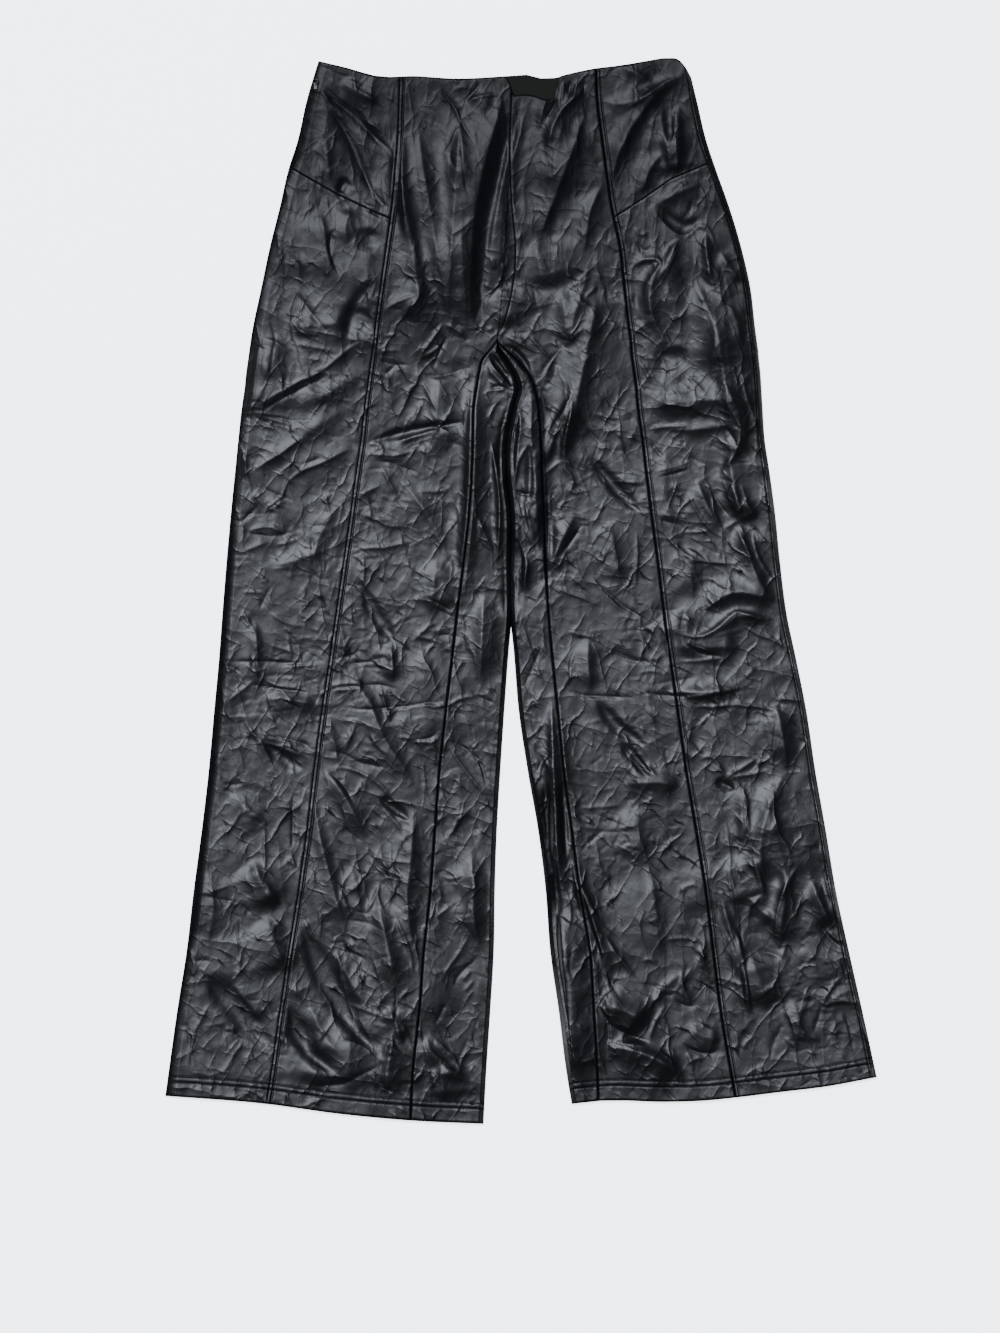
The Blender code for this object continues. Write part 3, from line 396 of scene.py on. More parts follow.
# Soft banks and valleys: half width on the left of the path and on its right, as seen on the board when
# the path runs down it, height, then the points of the path as above
SOFT = (
    # right yoke
    (9, 8, 2, 340, 80, 358, 92, 378, 104), (8, 6, 1.6, 326, 134, 328, 160, 330, 186),
    (6, 5, -1.8, 347, 176, 342, 190, 338, 198),
    # right centre panel, under the waist
    (30, 12, 5, 508, 70, 502, 104, 494, 128, 486, 158, 477, 196, 472, 236, 470, 280, 471, 318, 478, 352),
    (12, 34, 4.2, 462, 88, 458, 140, 455, 200, 451, 260, 447, 322),
    (10, 8, 1.4, 462, 96, 480, 100, 494, 108), (10, 5, 1.8, 461, 126, 463, 160, 464, 192),
    (6, 26, 3.2, 398, 128, 400, 170, 403, 210, 408, 244),
    # left centre panel, under the waist
    (6, 7, 2.2, 556, 80, 547, 96, 541, 116, 538, 132),
    (7, 7, 3, 592, 82, 575, 97, 560, 111, 551, 130, 545, 156),
    (5, 6, 1.2, 531, 96, 522, 124, 510, 160, 500, 196, 493, 230, 488, 262),
    (10, 9, 3, 586, 108, 577, 138, 567, 166, 557, 192, 548, 216, 537, 244),
    (20, 28, 3.6, 566, 110, 557, 150, 548, 200),
    # left yoke
    (9, 6, 2, 620, 66, 640, 74, 652, 84),
    (11, 9, 4.2, 684, 78, 658, 91, 645, 108, 634, 124, 624, 142, 614, 166, 609, 190),
    (9, 8, 1.8, 666, 86, 640, 98, 620, 106, 600, 100), (6, 6, 2.4, 679, 100, 678, 134, 677, 178),
    (7, 5, 2, 662, 104, 662, 126, 668, 148, 672, 172), (16, 13, 3.2, 676, 128, 672, 152, 676, 180),
    (7, 6, 2, 664, 150, 652, 166, 644, 184, 642, 198), (9, 8, 2, 706, 182, 688, 188, 670, 196, 656, 206),
    # right hip
    (12, 5, -2, 524, 84, 515, 120, 503, 160, 493, 200, 486, 240, 481, 285, 481, 310, 486, 346),
    (12, 12, 3.2, 416, 104, 422, 160, 429, 200, 435, 240, 444, 290, 454, 332),
    (14, 12, 4.2, 400, 140, 401, 190, 406, 215, 412, 245, 417, 280, 421, 312),
    (80, 24, 3, 374, 196, 370, 250, 364, 306), (9, 6, 1.6, 352, 204, 345, 226, 347, 246),
    (24, 5, 2, 320, 206, 324, 230, 328, 256, 338, 280), (8, 7, 1.4, 462, 210, 462, 250, 464, 290, 468, 330),
    (9, 9, -1.6, 372, 226, 368, 240, 372, 254), (16, 8, 2.6, 424, 276, 416, 304, 404, 324),
    (7, 7, -2, 378, 278, 360, 298, 349, 320, 347, 342), (10, 10, -1.6, 366, 306, 360, 322, 364, 336),
    (50, 44, 4.2, 482, 306, 430, 302, 380, 300, 330, 304, 276, 312),
    (10, 22, 3, 352, 322, 320, 326, 290, 322),
    # left hip
    (8, 7, 2.4, 606, 184, 593, 200, 587, 226, 584, 256), (14, 16, 2, 506, 196, 500, 240, 497, 292),
    (9, 6, -2.4, 656, 204, 672, 222, 688, 228, 702, 216), (6, 7, 3, 706, 226, 706, 246, 709, 268, 714, 292),
    (10, 36, 3, 536, 236, 540, 262, 546, 292), (4, 30, 2.4, 682, 236, 670, 252, 665, 268, 656, 284),
    (8, 8, 2.2, 718, 250, 730, 266, 744, 284), (9, 9, 1.8, 592, 258, 583, 290, 573, 320, 570, 348),
    (7, 6, 1.8, 622, 266, 642, 258, 662, 258, 656, 276, 648, 292, 652, 316, 664, 340, 678, 360),
    (20, 12, 4.8, 694, 276, 703, 298, 712, 318, 716, 338, 713, 354, 712, 384),
    (12, 34, 2.6, 500, 286, 502, 312, 508, 330), (10, 26, 3.4, 562, 288, 566, 320, 566, 346),
    (34, 30, 3.4, 694, 298, 660, 302, 632, 300), (8, 8, 1.8, 726, 300, 738, 322, 744, 350),
    # crotch and the inner strips of both legs
    (4, 4, -2.2, 499, 344, 512, 350, 522, 361, 529, 376), (4, 4, -3, 486, 352, 497, 362, 508, 375, 519, 392),
    (5, 5, 1.8, 484, 362, 496, 376, 512, 392),
    (7, 15, 4.6, 479, 366, 474, 400, 473, 440, 472, 480, 470, 520, 466, 560, 461, 606),
    (14, 9, 3, 530, 376, 533, 400, 532, 440, 536, 480, 539, 520, 542, 560),
    (5, 6, 2, 516, 400, 519, 426, 516, 452, 510, 484), (6, 7, -3, 513, 402, 508, 430, 505, 460, 506, 488),
    (5, 5, 1.8, 491, 436, 498, 470, 502, 500, 500, 540, 497, 572),
    (4, 8, 1.5, 491, 438, 497, 468, 502, 500, 501, 540, 497, 570), (5, 5, -2, 530, 440, 531, 470, 529, 500),
    (4, 6, 1.4, 507, 500, 511, 526, 521, 552, 527, 563, 523, 578, 529, 600),
    (5, 6, 1.6, 524, 500, 530, 524, 536, 548), (9, 6, -2.4, 546, 500, 548, 530, 550, 566),
    (4, 5, 1.4, 478, 515, 484, 533, 493, 552), (6, 7, -2.6, 512, 534, 514, 560, 512, 590, 511, 622),
    (4, 5, 1.6, 521, 556, 526, 574, 521, 592),
    # right thigh
    (20, 44, 3.4, 268, 328, 262, 370, 258, 424), (10, 8, 1.6, 276, 332, 274, 352, 262, 384),
    (8, 8, -1.6, 412, 352, 432, 366, 458, 370, 478, 364), (10, 27, 3, 440, 370, 437, 420, 434, 460),
    (14, 10, 1.8, 366, 372, 330, 392, 290, 408), (12, 12, 1.4, 352, 404, 318, 426, 286, 446, 254, 474),
    (10, 12, 1, 362, 442, 330, 454, 296, 468, 268, 480),
    (5, 4, -2.8, 366, 443, 390, 436, 420, 429, 445, 425, 470, 421),
    (5, 5, -1.4, 400, 446, 426, 440, 441, 430), (8, 9, 2, 398, 476, 418, 500, 434, 524, 446, 556),
    (9, 7, 1.6, 340, 500, 324, 528, 314, 552, 308, 574), (9, 9, 1.4, 330, 548, 300, 560, 270, 566),
    (10, 28, 3.2, 438, 556, 433, 590, 430, 616),
    # left thigh
    (18, 20, 2.6, 706, 236, 722, 300, 729, 360, 736, 430, 744, 490),
    (16, 16, 4.8, 598, 290, 592, 330, 584, 364, 578, 396, 573, 430, 566, 456),
    (10, 24, 4.4, 714, 306, 721, 350, 728, 400, 731, 436), (9, 8, -2, 690, 350, 672, 360, 652, 354),
    (14, 9, 4, 718, 372, 731, 395, 740, 414, 741, 436, 733, 456, 719, 476),
    (6, 7, 1.8, 574, 394, 560, 420, 548, 442, 542, 470),
    (4, 5, 1.4, 571, 395, 564, 412, 557, 430, 550, 448, 545, 464),
    (4, 5, 1.4, 573, 396, 570, 415, 565, 440, 562, 468), (6, 8, 2.2, 576, 398, 569, 430, 564, 462, 568, 484),
    (20, 17, 5, 734, 398, 700, 401, 670, 403, 648, 406), (8, 6, 1.8, 736, 424, 700, 430, 664, 430),
    (20, 11, 1.6, 668, 436, 664, 470, 668, 506, 676, 548), (9, 26, 4.4, 728, 450, 735, 490, 744, 530),
    (6, 6, -3.2, 588, 455, 605, 475, 625, 500, 648, 515), (16, 9, 2, 776, 470, 778, 520, 786, 566),
    (10, 6, 2.4, 696, 478, 708, 508, 721, 530), (8, 5, 2, 731, 483, 741, 510),
    (8, 5, 2.2, 742, 498, 756, 520), (13, 9, 3.4, 577, 512, 563, 538, 546, 573),
    (12, 11, 2.4, 611, 518, 612, 542, 616, 565, 622, 588),
    (11, 8, 3.6, 738, 518, 746, 548, 756, 575, 770, 599), (12, 9, 1.8, 694, 544, 690, 572, 694, 600),
    # right knee
    (6, 7, -3.4, 362, 585, 370, 605, 378, 620, 390, 635, 398, 645),
    (10, 16, 4, 484, 590, 482, 640, 480, 686), (10, 6, 2.4, 256, 618, 257, 655, 258, 692),
    (20, 10, 2, 216, 640, 214, 700, 208, 760), (9, 7, 2.6, 392, 640, 391, 662, 393, 684),
    (30, 40, 2.2, 424, 640, 426, 700, 424, 760),
    (17, 7, 2.6, 352, 661, 358, 682, 367, 700, 376, 718, 384, 738, 392, 752, 404, 768, 417, 792),
    (8, 9, 2.6, 322, 706, 292, 700, 262, 698), (7, 6, -2.6, 262, 740, 285, 760, 305, 770),
    (13, 9, 3.4, 322, 763, 344, 795, 354, 814, 366, 838), (14, 8, 2, 232, 790, 246, 810, 270, 824),
    (5, 5, -2.6, 378, 795, 394, 809, 410, 820),
    # left knee
    (14, 10, 4.2, 784, 600, 760, 596, 736, 591, 718, 599, 702, 614),
    (12, 24, 3.2, 684, 606, 688, 640, 692, 662), (6, 9, 2.2, 776, 624, 741, 613, 722, 628, 698, 640),
    (12, 8, 2.8, 589, 634, 588, 662, 591, 694), (13, 12, 3, 742, 648, 716, 647, 690, 652),
    (8, 6, 2.4, 742, 684, 720, 690, 700, 693, 668, 692),
    (8, 12, 5.5, 553, 690, 554, 740, 555, 800, 557, 860, 562, 910),
    (7, 6, -3, 596, 698, 608, 715, 622, 732, 650, 748), (13, 10, 4, 774, 699, 780, 720, 784, 745, 788, 771),
    (4, 4, -2.2, 618, 740, 635, 755, 652, 777), (5, 5, -2, 715, 780, 735, 790),
    (7, 5, 2, 739, 780, 744, 820, 741, 850), (11, 11, 3.2, 684, 786, 652, 782, 620, 785),
    # lower right leg
    (11, 7, 2.6, 309, 795, 317, 824, 323, 850, 331, 880, 339, 910, 348, 940),
    (12, 9, 3.4, 414, 798, 413, 830, 411, 862, 406, 900, 411, 934, 416, 962),
    (13, 14, 4.2, 471, 845, 473, 885, 473, 920, 480, 952), (15, 12, 4.2, 252, 857, 262, 884, 275, 912),
    (12, 8, 1.8, 352, 860, 356, 892, 364, 930), (26, 10, 2, 208, 866, 214, 910, 206, 944),
    (12, 12, 4.2, 375, 893, 384, 928, 391, 962, 397, 1000), (20, 15, 4, 266, 914, 275, 946, 291, 972),
    (8.5, 12, -5.4, 302, 924, 314, 956, 327, 984, 342, 1011, 359, 1037, 386, 1055),
    (10, 8, 1.8, 330, 944, 350, 980, 366, 1008),
    (10, 15, -4, 203, 973, 219, 991, 237, 1012, 255, 1033, 276, 1049),
    (10, 10, 1.8, 230, 980, 246, 1000, 266, 1024), (16, 26, 4, 352, 996, 350, 1050, 348, 1100),
    (8, 8, 1.8, 308, 1000, 322, 1034, 346, 1062), (8, 10, -4.8, 288, 1003, 297, 1032, 313, 1058, 342, 1076),
    (9, 8, 3.2, 388, 1004, 397, 1028, 404, 1045), (80, 60, 3.4, 468, 1006, 400, 1002, 334, 994),
    (8, 20, 4, 394, 1028, 389, 1062, 385, 1098), (20, 24, 3.6, 318, 1030, 318, 1062, 317, 1092),
    (9, 12, 3.8, 423, 1033, 433, 1056, 451, 1072, 470, 1082), (10, 22, 3.6, 440, 1062, 443, 1086, 445, 1104),
    # lower left leg
    (15, 12, 4.8, 786, 769, 774, 798, 764, 821, 760, 845, 761, 866, 768, 884),
    (6, 6, -3.4, 545, 776, 546, 820, 547, 864), (5, 5, -2.6, 564, 778, 566, 820, 567, 862),
    (22, 12, 2, 636, 800, 640, 840, 642, 866), (12, 36, 4, 768, 800, 780, 850, 792, 894),
    (56, 12, 3, 752, 846, 758, 880, 764, 908),
    (6, 7, -3.6, 553, 848, 554, 900, 553, 950, 561, 1000, 571, 1042),
    (4, 9, 4, 573, 850, 579, 888, 590, 915, 600, 945, 607, 975, 612, 1006),
    (28, 8, 2, 652, 864, 655, 910, 661, 962), (11, 12, 4.4, 784, 865, 786, 896, 781, 925, 778, 952),
    (10, 10, 4.4, 811, 878, 821, 904, 836, 930), (7, 6, 2.6, 719, 888, 727, 918, 736, 950, 742, 984),
    (8, 34, 8, 557, 896, 561, 960, 567, 1020, 573, 1070, 577, 1104),
    (8, 10, 2.8, 748, 897, 762, 911, 776, 923), (9, 8, 3, 737, 928, 743, 960, 747, 990, 749, 1020),
    (12, 30, 4, 750, 950, 762, 990, 768, 1012), (5, 8, 1.2, 688, 970, 668, 983, 652, 1004),
    (12, 9, 2, 792, 996, 800, 1024, 794, 1050), (10, 8, 2, 690, 1022, 700, 1036, 724, 1040),
    (16, 20, 6.6, 650, 1028, 632, 1014, 612, 1007, 596, 1010),
    (9, 20, 6.2, 688, 1080, 662, 1062, 634, 1050, 602, 1047),
)

# Small random creases between those: how many, half width, height, and length from and to
CRINKLES = ((260, 1.8, 0.28, 20, 60), (2300, 1.2, 0.21, 6, 26))
CRINKLE_AREA = ((150, 60), (890, 1120))    # corners on the board of where they lie
CRINKLE_FOCI = 70                   # places that many of them crowd round
FOCUS_AREA = ((200, 240), (850, 1090))    # and corners of where those places are
CROWDED = 0.55                      # share of them that do
CROWD_SPREAD = 26.0                 # and how far from the place, as a standard deviation
LINED_UP = 0.5                      # share that lie across the legs or, above LEG_TOP, down from the waist
LINE_SPREAD = 0.35                  # and by how many radians those vary
LEG_TOP = 300                       # how far down the board the legs' creases begin
WAIST_LIE = 1.6                     # radians from across that the ones above it lie
CRINKLE_RISE = (0.5, 1.6)           # their least and greatest height, as a share of the one given
CRINKLE_BOW = 0.3                   # how far they bend sideways at most, as a share of half their length
CRINKLE_SEED = 20
SWELL_CELL = 74.0                   # size of the broad soft swells
SWELL = 0.45                        # and their height
CRUMPLE_CELLS = ((27.0, 0.02), (13.0, 0.02))    # size of the crumple's facets, and the slope in them
FACET_PATCH = 60                    # over what length that slope varies,
FACET_VARY = 0.6                    # and by what share of it
LATTICE = 64                        # points of the random lattices each way, before they repeat

# Crumple of the coating: size of its planes, turn in degrees, stretch along the turned Y, the slope where
# two planes meet in a crest (below 0: in a crease), the power that narrows the crests, and the zone
CRUMPLES = ((46, 35, 3.0, 0.015, 2.0, 0), (28, -50, 3.0, -0.02, 2.0, 0), (22, 78, 3.6, 0.08, 4.0, 0),
            (14, 12, 3.4, 0.125, 4.0, 0), (9, -32, 3.0, 0.16, 4.0, 0), (6, 55, 2.6, 0.14, 4.0, 0),
            (13, -9, 9.0, 0.075, 3.0, 1), (9, 6, 9.0, 0.07, 3.0, 1))
BEND = 12                           # how far those planes bend
BEND_CELL = 26                      # and over what length
PATCH = 2.3                         # size of the patches that a crumple shows in, in planes of it
PATCH_EDGE = (0.46, 0.62)           # levels of noise where a patch starts and where it shows in full
PATCH_REST = 0.1                    # share of the crumple that is left between its patches

# How much of a zone's crumples shows on the legs and over the seat.  Zone 0 is the crumple of the whole
# garment and zone 1 the lines that run down from the waist.
ZONES = ((1.0, 0.55), (0.0, 1.0))
LEGS_TO_SEAT = (0.27, 0.36)         # heights along in metres between which the one turns into the other

# Sheen of the coating over the thighs, and painted shade where it is less, towards the waist and the hems,
# # where less light falls: heights along in metres where it starts to fade and where it has faded, and the
# # share of it that is left
SHEEN = 0.22
PAINTED_SHADE_FADES = ((0.1, 0.5, 0.42), (-0.12, -0.32, 0.92))

# Painted shade: (height, width) of the dull band along each folded edge and in the fold over the left
# inseam, where the sheen is lowered to darken them.  The bands at the waist, the hems and the rows of
# stitches below are painted shade too
PAINTED_SHADE_RIMS = {("R", "side"): ((-490, 5), (-370, 5), (-330, 12), (30, 11), (110, 4), (360, 4), (390, 14),
                        (480, 14), (500, 5)),
        ("L", "side"): ((-490, 4), (-50, 4), (-10, 5), (130, 6), (170, 11), (330, 11), (430, 5)),
        ("R", "inner"): ((-490, 4), (-50, 4), (0, 1)),
        ("L", "inner"): ((-490, 5), (-330, 5), (-300, 15), (-200, 15), (-180, 5), (-50, 5), (0, 1)),
        ("L", "inseam"): ((0, 0.1), (30, 5), (70, 6.5), (205, 7), (235, 4), (246, 0.1))}
RIM_CORE = 0.3                      # share of a band's width, from the edge, that is wholly dull
END_RIM = 2.6                       # width of the band at the waist and the hems,
END_CORE = 0.4                      # and how much of it is wholly dull
RIM_GLOSS = 0.12                    # what is left of the gloss there
# painted shade: the stitch rows are darkened by lowering the sheen along them
ROW_DULL = 1.3                      # half width of the dull line along a row of stitches

# Sewing
HEM_ROWS = (15.0, 20.5)             # two rows of stitches, from the hem's edge
HEM_THICK = 0.5                     # that the turned-up cloth adds
HEM_TOP = (20.0, 22.0)              # from the hem's edge, over which that thickness ends
STITCH_SINK = 0.55                  # a row of stitches pulls the cloth in by this
EDGE_DROP = 0.9                     # the cloth turns down by this into a seam or over an edge
DIP = 0.9                           # half width of a dip at a seam, an edge or a row of stitches
SEAM_END = 3.0                      # over which a seam's dip fades out at the waist and the hem
SOFT_DROP = 0.35                    # at the seams that show as faint lines only
STRIP_DROP = 0.25                   # at the left side seam
CLOSE = 0.11                        # that each side of those seams takes off the gap
CROTCH_FADE = 12                    # from the crotch, up and down, to where the seam over it has its own drop
YOKE_FADE = (6, 26)                 # from a princess seam, over which the yoke seam's flat strip ends
NO_YOKE = (-2, -1)                  # the same for the strips that the yoke seam doesn't reach
PRINCESS_ROW = 4.2                  # from a princess seam to the second line of its lap
LAP_DROP = 1.0                      # of the lapped edge on the wearer's right
LAP_DIP = 0.8                       # and its half width
ROW_DIP = 0.7                       # half width of the line of stitches on the wearer's left
STITCH_PITCH = 3.0
STITCH_LENGTH = 2.3
STITCH_RADIUS = 0.22
STITCH_END = 0.55                   # share of that radius at a stitch's two ends
STITCH_RISE = 0.28                  # how far the middle of a stitch arches up
STITCH_DIP = 0.06                   # and how deep its ends lie in the cloth
FACING = (-70.0, 120.0)             # the facing's ends across
FACING_EDGE = 0.8                   # from the back's waist edge down to the facing
FACING_DEEP = 24.0
FACING_TOP = 1.8                    # height of its upper face over the ground
FACING_WAVE = 0.25                  # how far that waves up and down
FACING_CELL = 16                    # and over what length

INWARD = {"R": 1, "L": -1}          # which way along X the middle of the garment is
NAME = {"R": "right", "L": "left"}


def smooth_line(rows, at):
    """Cubic curve through rows of (position, value), with each slope taken from the two neighbours."""
    rows = np.array(sorted(rows), float)
    place, value = rows[:, 0], rows[:, 1]
    slope = np.gradient(value, place)
    cell = np.clip(np.searchsorted(place, at) - 1, 0, len(place) - 2)
    width = place[cell + 1] - place[cell]
    t = np.clip((at - place[cell]) / width, 0.0, 1.0)
    return (value[cell] * (1 + 2 * t) * (1 - t) ** 2 + value[cell + 1] * t * t * (3 - 2 * t)
            + width * t * (1 - t) * (slope[cell] * (1 - t) - slope[cell + 1] * t))


def line_across(name, along):
    """Where the named edge or seam lies across, at the given heights along the garment."""
    column = COLUMNS.index(name)
    return smooth_line([(row[0], row[column]) for row in SECTIONS], along)


def cross_line(side, across, nominal):
    """Height along the garment of the cross line that is nominally straight, bent to the edge seams."""
    waist = smooth_line(WAIST, across)
    yoke = np.interp(across, *np.array(YOKE_SEAM).T)
    hem = smooth_line(HEM[side], across)
    over_yoke = yoke + (waist - yoke) * (nominal - YOKE_AT) / (WAIST_AT - YOKE_AT)
    under_yoke = CROTCH_AT + (yoke - CROTCH_AT) * (nominal - CROTCH_AT) / (YOKE_AT - CROTCH_AT)
    over_hem = HEM_FADE_AT + (hem - HEM_FADE_AT) * (nominal - HEM_FADE_AT) / (HEM_AT - HEM_FADE_AT)
    hip = np.where(nominal >= YOKE_AT, over_yoke, under_yoke)
    leg = np.where(nominal < HEM_FADE_AT, over_hem, nominal)
    return np.where(nominal >= CROTCH_AT, hip, leg)


def on_line(side, name, nominal):
    """Where the cross lines meet the named edge or seam, found by a few rounds of correction."""
    along = nominal
    for _ in range(5):
        across = line_across(f"{name}_{side}", along)
        along = cross_line(side, across, nominal)
    return across


def ease(t):
    """Smooth S from 0 to 1: 3 t squared - 2 t cubed."""
    return t * t * (3 - 2 * t)


def step_up(value, low, high):
    """0 below low and 1 above high, with a smooth S between."""
    return ease(np.clip((value - low) / (high - low), 0.0, 1.0))


def lattice_noise(across, along, cell, seed):
    """Random values from -1 to 1 on a square lattice, joined smoothly in both directions."""
    table = np.random.default_rng(seed).uniform(-1, 1, (LATTICE, LATTICE))
    u, v = across / cell + LATTICE / 2, along / cell + LATTICE / 2
    i, j = np.floor(u).astype(int), np.floor(v).astype(int)
    s, t = ease(u - i), ease(v - j)
    corner = [table[(i + a) % LATTICE, (j + b) % LATTICE] for a in (0, 1) for b in (0, 1)]
    return (corner[0] * (1 - t) + corner[1] * t) * (1 - s) + (corner[2] * (1 - t) + corner[3] * t) * s


def facets(across, along, cell, seed):
    """Distance to the nearest of jittered lattice points: shallow cones that meet in sharp crests."""
    jitter = np.random.default_rng(seed).uniform(0.0, 1.0, (LATTICE, LATTICE, 2))
    u, v = across / cell + LATTICE / 2, along / cell + LATTICE / 2
    i, j = np.floor(u).astype(int), np.floor(v).astype(int)
    nearest = np.full(np.shape(u), 9.0)
    for a in (-1, 0, 1):
        for b in (-1, 0, 1):
            point = jitter[(i + a) % LATTICE, (j + b) % LATTICE]
            nearest = np.minimum(nearest, np.hypot(i + a + point[..., 0] - u, j + b + point[..., 1] - v))
    return (nearest - 0.5) * cell


def crease_points(numbers):
    """Points of a crease in the part's frame, from the board's (right, down) pairs, with the corners of
    the path cut once so that it bends softly."""
    points = np.array(numbers, float).reshape(-1, 2) * (1, -1) + BOARD_CORNER
    if len(points) > 2:
        first, second = points[:-1], points[1:]
        cut = np.stack((0.75 * first + 0.25 * second, 0.25 * first + 0.75 * second), 1).reshape(-1, 2)
        points = np.vstack((points[:1], cut[1:-1], points[-1:]))
    return points


def add_crease(height, across, along, points, left, right, rise, sharp):
    """Adds one crease: rise, times a hump along its length that is 0 at both ends, times exp(-d to a power),
    where d is the distance from the path over the half width of that side, and the half widths narrow
    towards the tips.  The power is 1 for a sharp crest, 2 for a soft valley, and for a soft bank 1.5 on
    the left and down to 1.2 on the right, which has the longer foot."""
    reach = (SHARP_REACH if sharp else SOFT_REACH) * max(left, right)
    low, high = points.min(0) - reach, points.max(0) + reach
    near = np.flatnonzero((across > low[0]) & (across < high[0]) & (along > low[1]) & (along < high[1]))
    if not near.size:
        return
    x, y = across[near], along[near]
    runs = np.diff(points, axis=0)
    lengths = np.hypot(*runs.T)
    total, done = lengths.sum(), 0.0
    best, share, turn = np.full(x.shape, 1e9), np.zeros(x.shape), np.zeros(x.shape)
    for (x0, y0), (dx, dy), length in zip(points, runs / lengths[:, None], lengths):
        forward = np.clip((x - x0) * dx + (y - y0) * dy, 0.0, length)
        off = np.hypot(x - x0 - forward * dx, y - y0 - forward * dy)
        closer = off < best
        best = np.where(closer, off, best)
        share = np.where(closer, (done + forward) / total, share)
        turn = np.where(closer, ((y - y0) * dx - (x - x0) * dy) / (off + 1e-9), turn)
        done += length
    turn = np.clip(SIDE_BLEND * turn, -1, 1)
    hump = step_up(np.minimum(share, 1 - share), 0.0, TAPER)
    d = best / ((left + (right - left) * (0.5 + 0.5 * turn)) * (TIP_WIDTH + (1 - TIP_WIDTH) * hump))
    fall = 1.0 if sharp else 2.0 if rise < 0 else 1.5 - 0.3 * turn * (turn > 0)
    height[near] += rise * hump * np.exp(-d ** fall)


def fold_height(across, along):
    """Bell-shaped banks and troughs of the solids' own folds: rise times exp(-s squared - b squared), where
    s is the distance from the bowed line over the half width, and b how far past its ends, over FOLD_END
    half widths."""
    height = np.zeros(np.shape(across))
    for x0, y0, x1, y1, bow, half_width, rise in FOLDS:
        length = math.hypot(x1 - x0, y1 - y0)
        run = ((x1 - x0) / length, (y1 - y0) / length)
        forward = (across - x0) * run[0] + (along - y0) * run[1]
        share = forward / length
        sideways = (along - y0) * run[0] - (across - x0) * run[1] - 4 * bow * share * (1 - share)
        beyond = np.maximum(0.0, np.abs(forward - length / 2) - length / 2)
        height += rise * np.exp(-(sideways / half_width) ** 2 - (beyond / (FOLD_END * half_width)) ** 2)
    return height


def random_creases():
    """Seeded small creases all over the garment, each a little bent, as rows like those of SHARP."""
    random = np.random.default_rng(CRINKLE_SEED)
    foci = random.uniform(*FOCUS_AREA, (CRINKLE_FOCI, 2))
    rows = []
    for count, half_width, height, shortest, longest in CRINKLES:
        middle = random.uniform(*CRINKLE_AREA, (count, 2))
        crowded = random.random(count) < CROWDED
        crowd = foci[random.integers(0, CRINKLE_FOCI, count)] + random.normal(0, CROWD_SPREAD, (count, 2))
        middle = np.where(crowded[:, None], crowd, middle)
        lie = np.where(middle[:, 1] < LEG_TOP, WAIST_LIE, 0.0)
        lined_up = random.random(count) < LINED_UP
        lined_turn = random.normal(lie, LINE_SPREAD)
        turn = np.where(lined_up, lined_turn, random.uniform(0, math.pi, count))
        half = random.uniform(shortest, longest, count) / 2
        rise = height * random.uniform(*CRINKLE_RISE, count) * random.choice((-1, 1), count)
        run = np.stack((np.cos(turn), np.sin(turn)), 1) * half[:, None]
        bow = random.uniform(-CRINKLE_BOW, CRINKLE_BOW, count)
        bend = middle + np.stack((-run[:, 1], run[:, 0]), 1) * bow[:, None]
        rows += [(half_width, r, *a, *b, *c) for r, a, b, c in zip(rise, middle - run, bend, middle + run)]
    return rows


def relief(across, along):
    """Height of the upper layer over the ground: the flat stack, the solids' folds, every crease of the
    tables, broad swells, and the crumple's facets, kept between its lowest and highest place."""
    shape = np.shape(across)
    x, y = np.ravel(across), np.ravel(along)
    wander_x, wander_y = (WANDER * lattice_noise(x, y, WANDER_CELL, seed) for seed in (1, 3))
    height = FOLD_SHARE * fold_height(x, y)
    for half_width, rise, *numbers in (*SHARP, *random_creases()):
        path = crease_points(numbers)
        add_crease(height, x + wander_x, y + wander_y, path, half_width, half_width, rise, True)
    for left, right, rise, *numbers in SOFT:
        add_crease(height, x, y, crease_points(numbers), left, right, rise, False)
    height += (SWELL * lattice_noise(x, y, SWELL_CELL, 5)
               + 0.5 * SWELL * lattice_noise(x, y, SWELL_CELL / 2, 6))
    for number, (cell, slope) in enumerate(CRUMPLE_CELLS):
        strength = slope * (1 + FACET_VARY * lattice_noise(x, y, FACET_PATCH, 7 + number))
        height += strength * facets(x + 2 * wander_x, y + 2 * wander_y, cell, 9 + number)
    soft_floor = LOWEST_TOP - STACK
    height = np.where(height < 0, soft_floor * np.tanh(height / soft_floor), height)
    return (STACK + np.minimum(height, HIGHEST_TOP - STACK)).reshape(shape)


def rows_from(start, end):
    """Nominal heights of the cross lines from start down to end, closer near the waist, the yoke seam and
    the hem.  Each mark is a height and the step down from it."""
    marks = ((WAIST_AT, FINE), (WAIST_AT - FINE_REACH, GRID),
             (YOKE_AT + FINE_REACH, FINE), (YOKE_AT, FINE), (YOKE_AT - FINE_REACH, GRID),
             (WRAP_AT, GRID), (HEM_AT + HEM_REACH, HEM_GRID), (HEM_AT, HEM_GRID))
    marks = [mark for mark in marks if end <= mark[0] <= start]
    rows = []
    for (high, step), (low, _) in zip(marks, marks[1:]):
        count = math.ceil((high - low) / step)
        rows += [high + (low - high) * i / count for i in range(count)]
    return np.array(rows + [end])


def places_between(first, last, inward):
    """Places across from one seam to another: close steps near both, even ones between.

    Gives places across and the distances from both seams, a row for each cross line."""
    width = np.abs(last - first)[:, None]
    near = NEAR_SEAM[None] * np.minimum(1.0, NEAR_SHARE * width / NEAR_SEAM[-1])
    count = max(2, math.ceil((width.max() - 2 * NEAR_SEAM[-1]) / GRID))
    even = near[:, -1:] + (width - 2 * near[:, -1:]) * (np.arange(1, count) / count)[None]
    from_first = np.hstack((near, even, (width - near)[:, ::-1]))
    return first[:, None] + inward * from_first, from_first, width - from_first


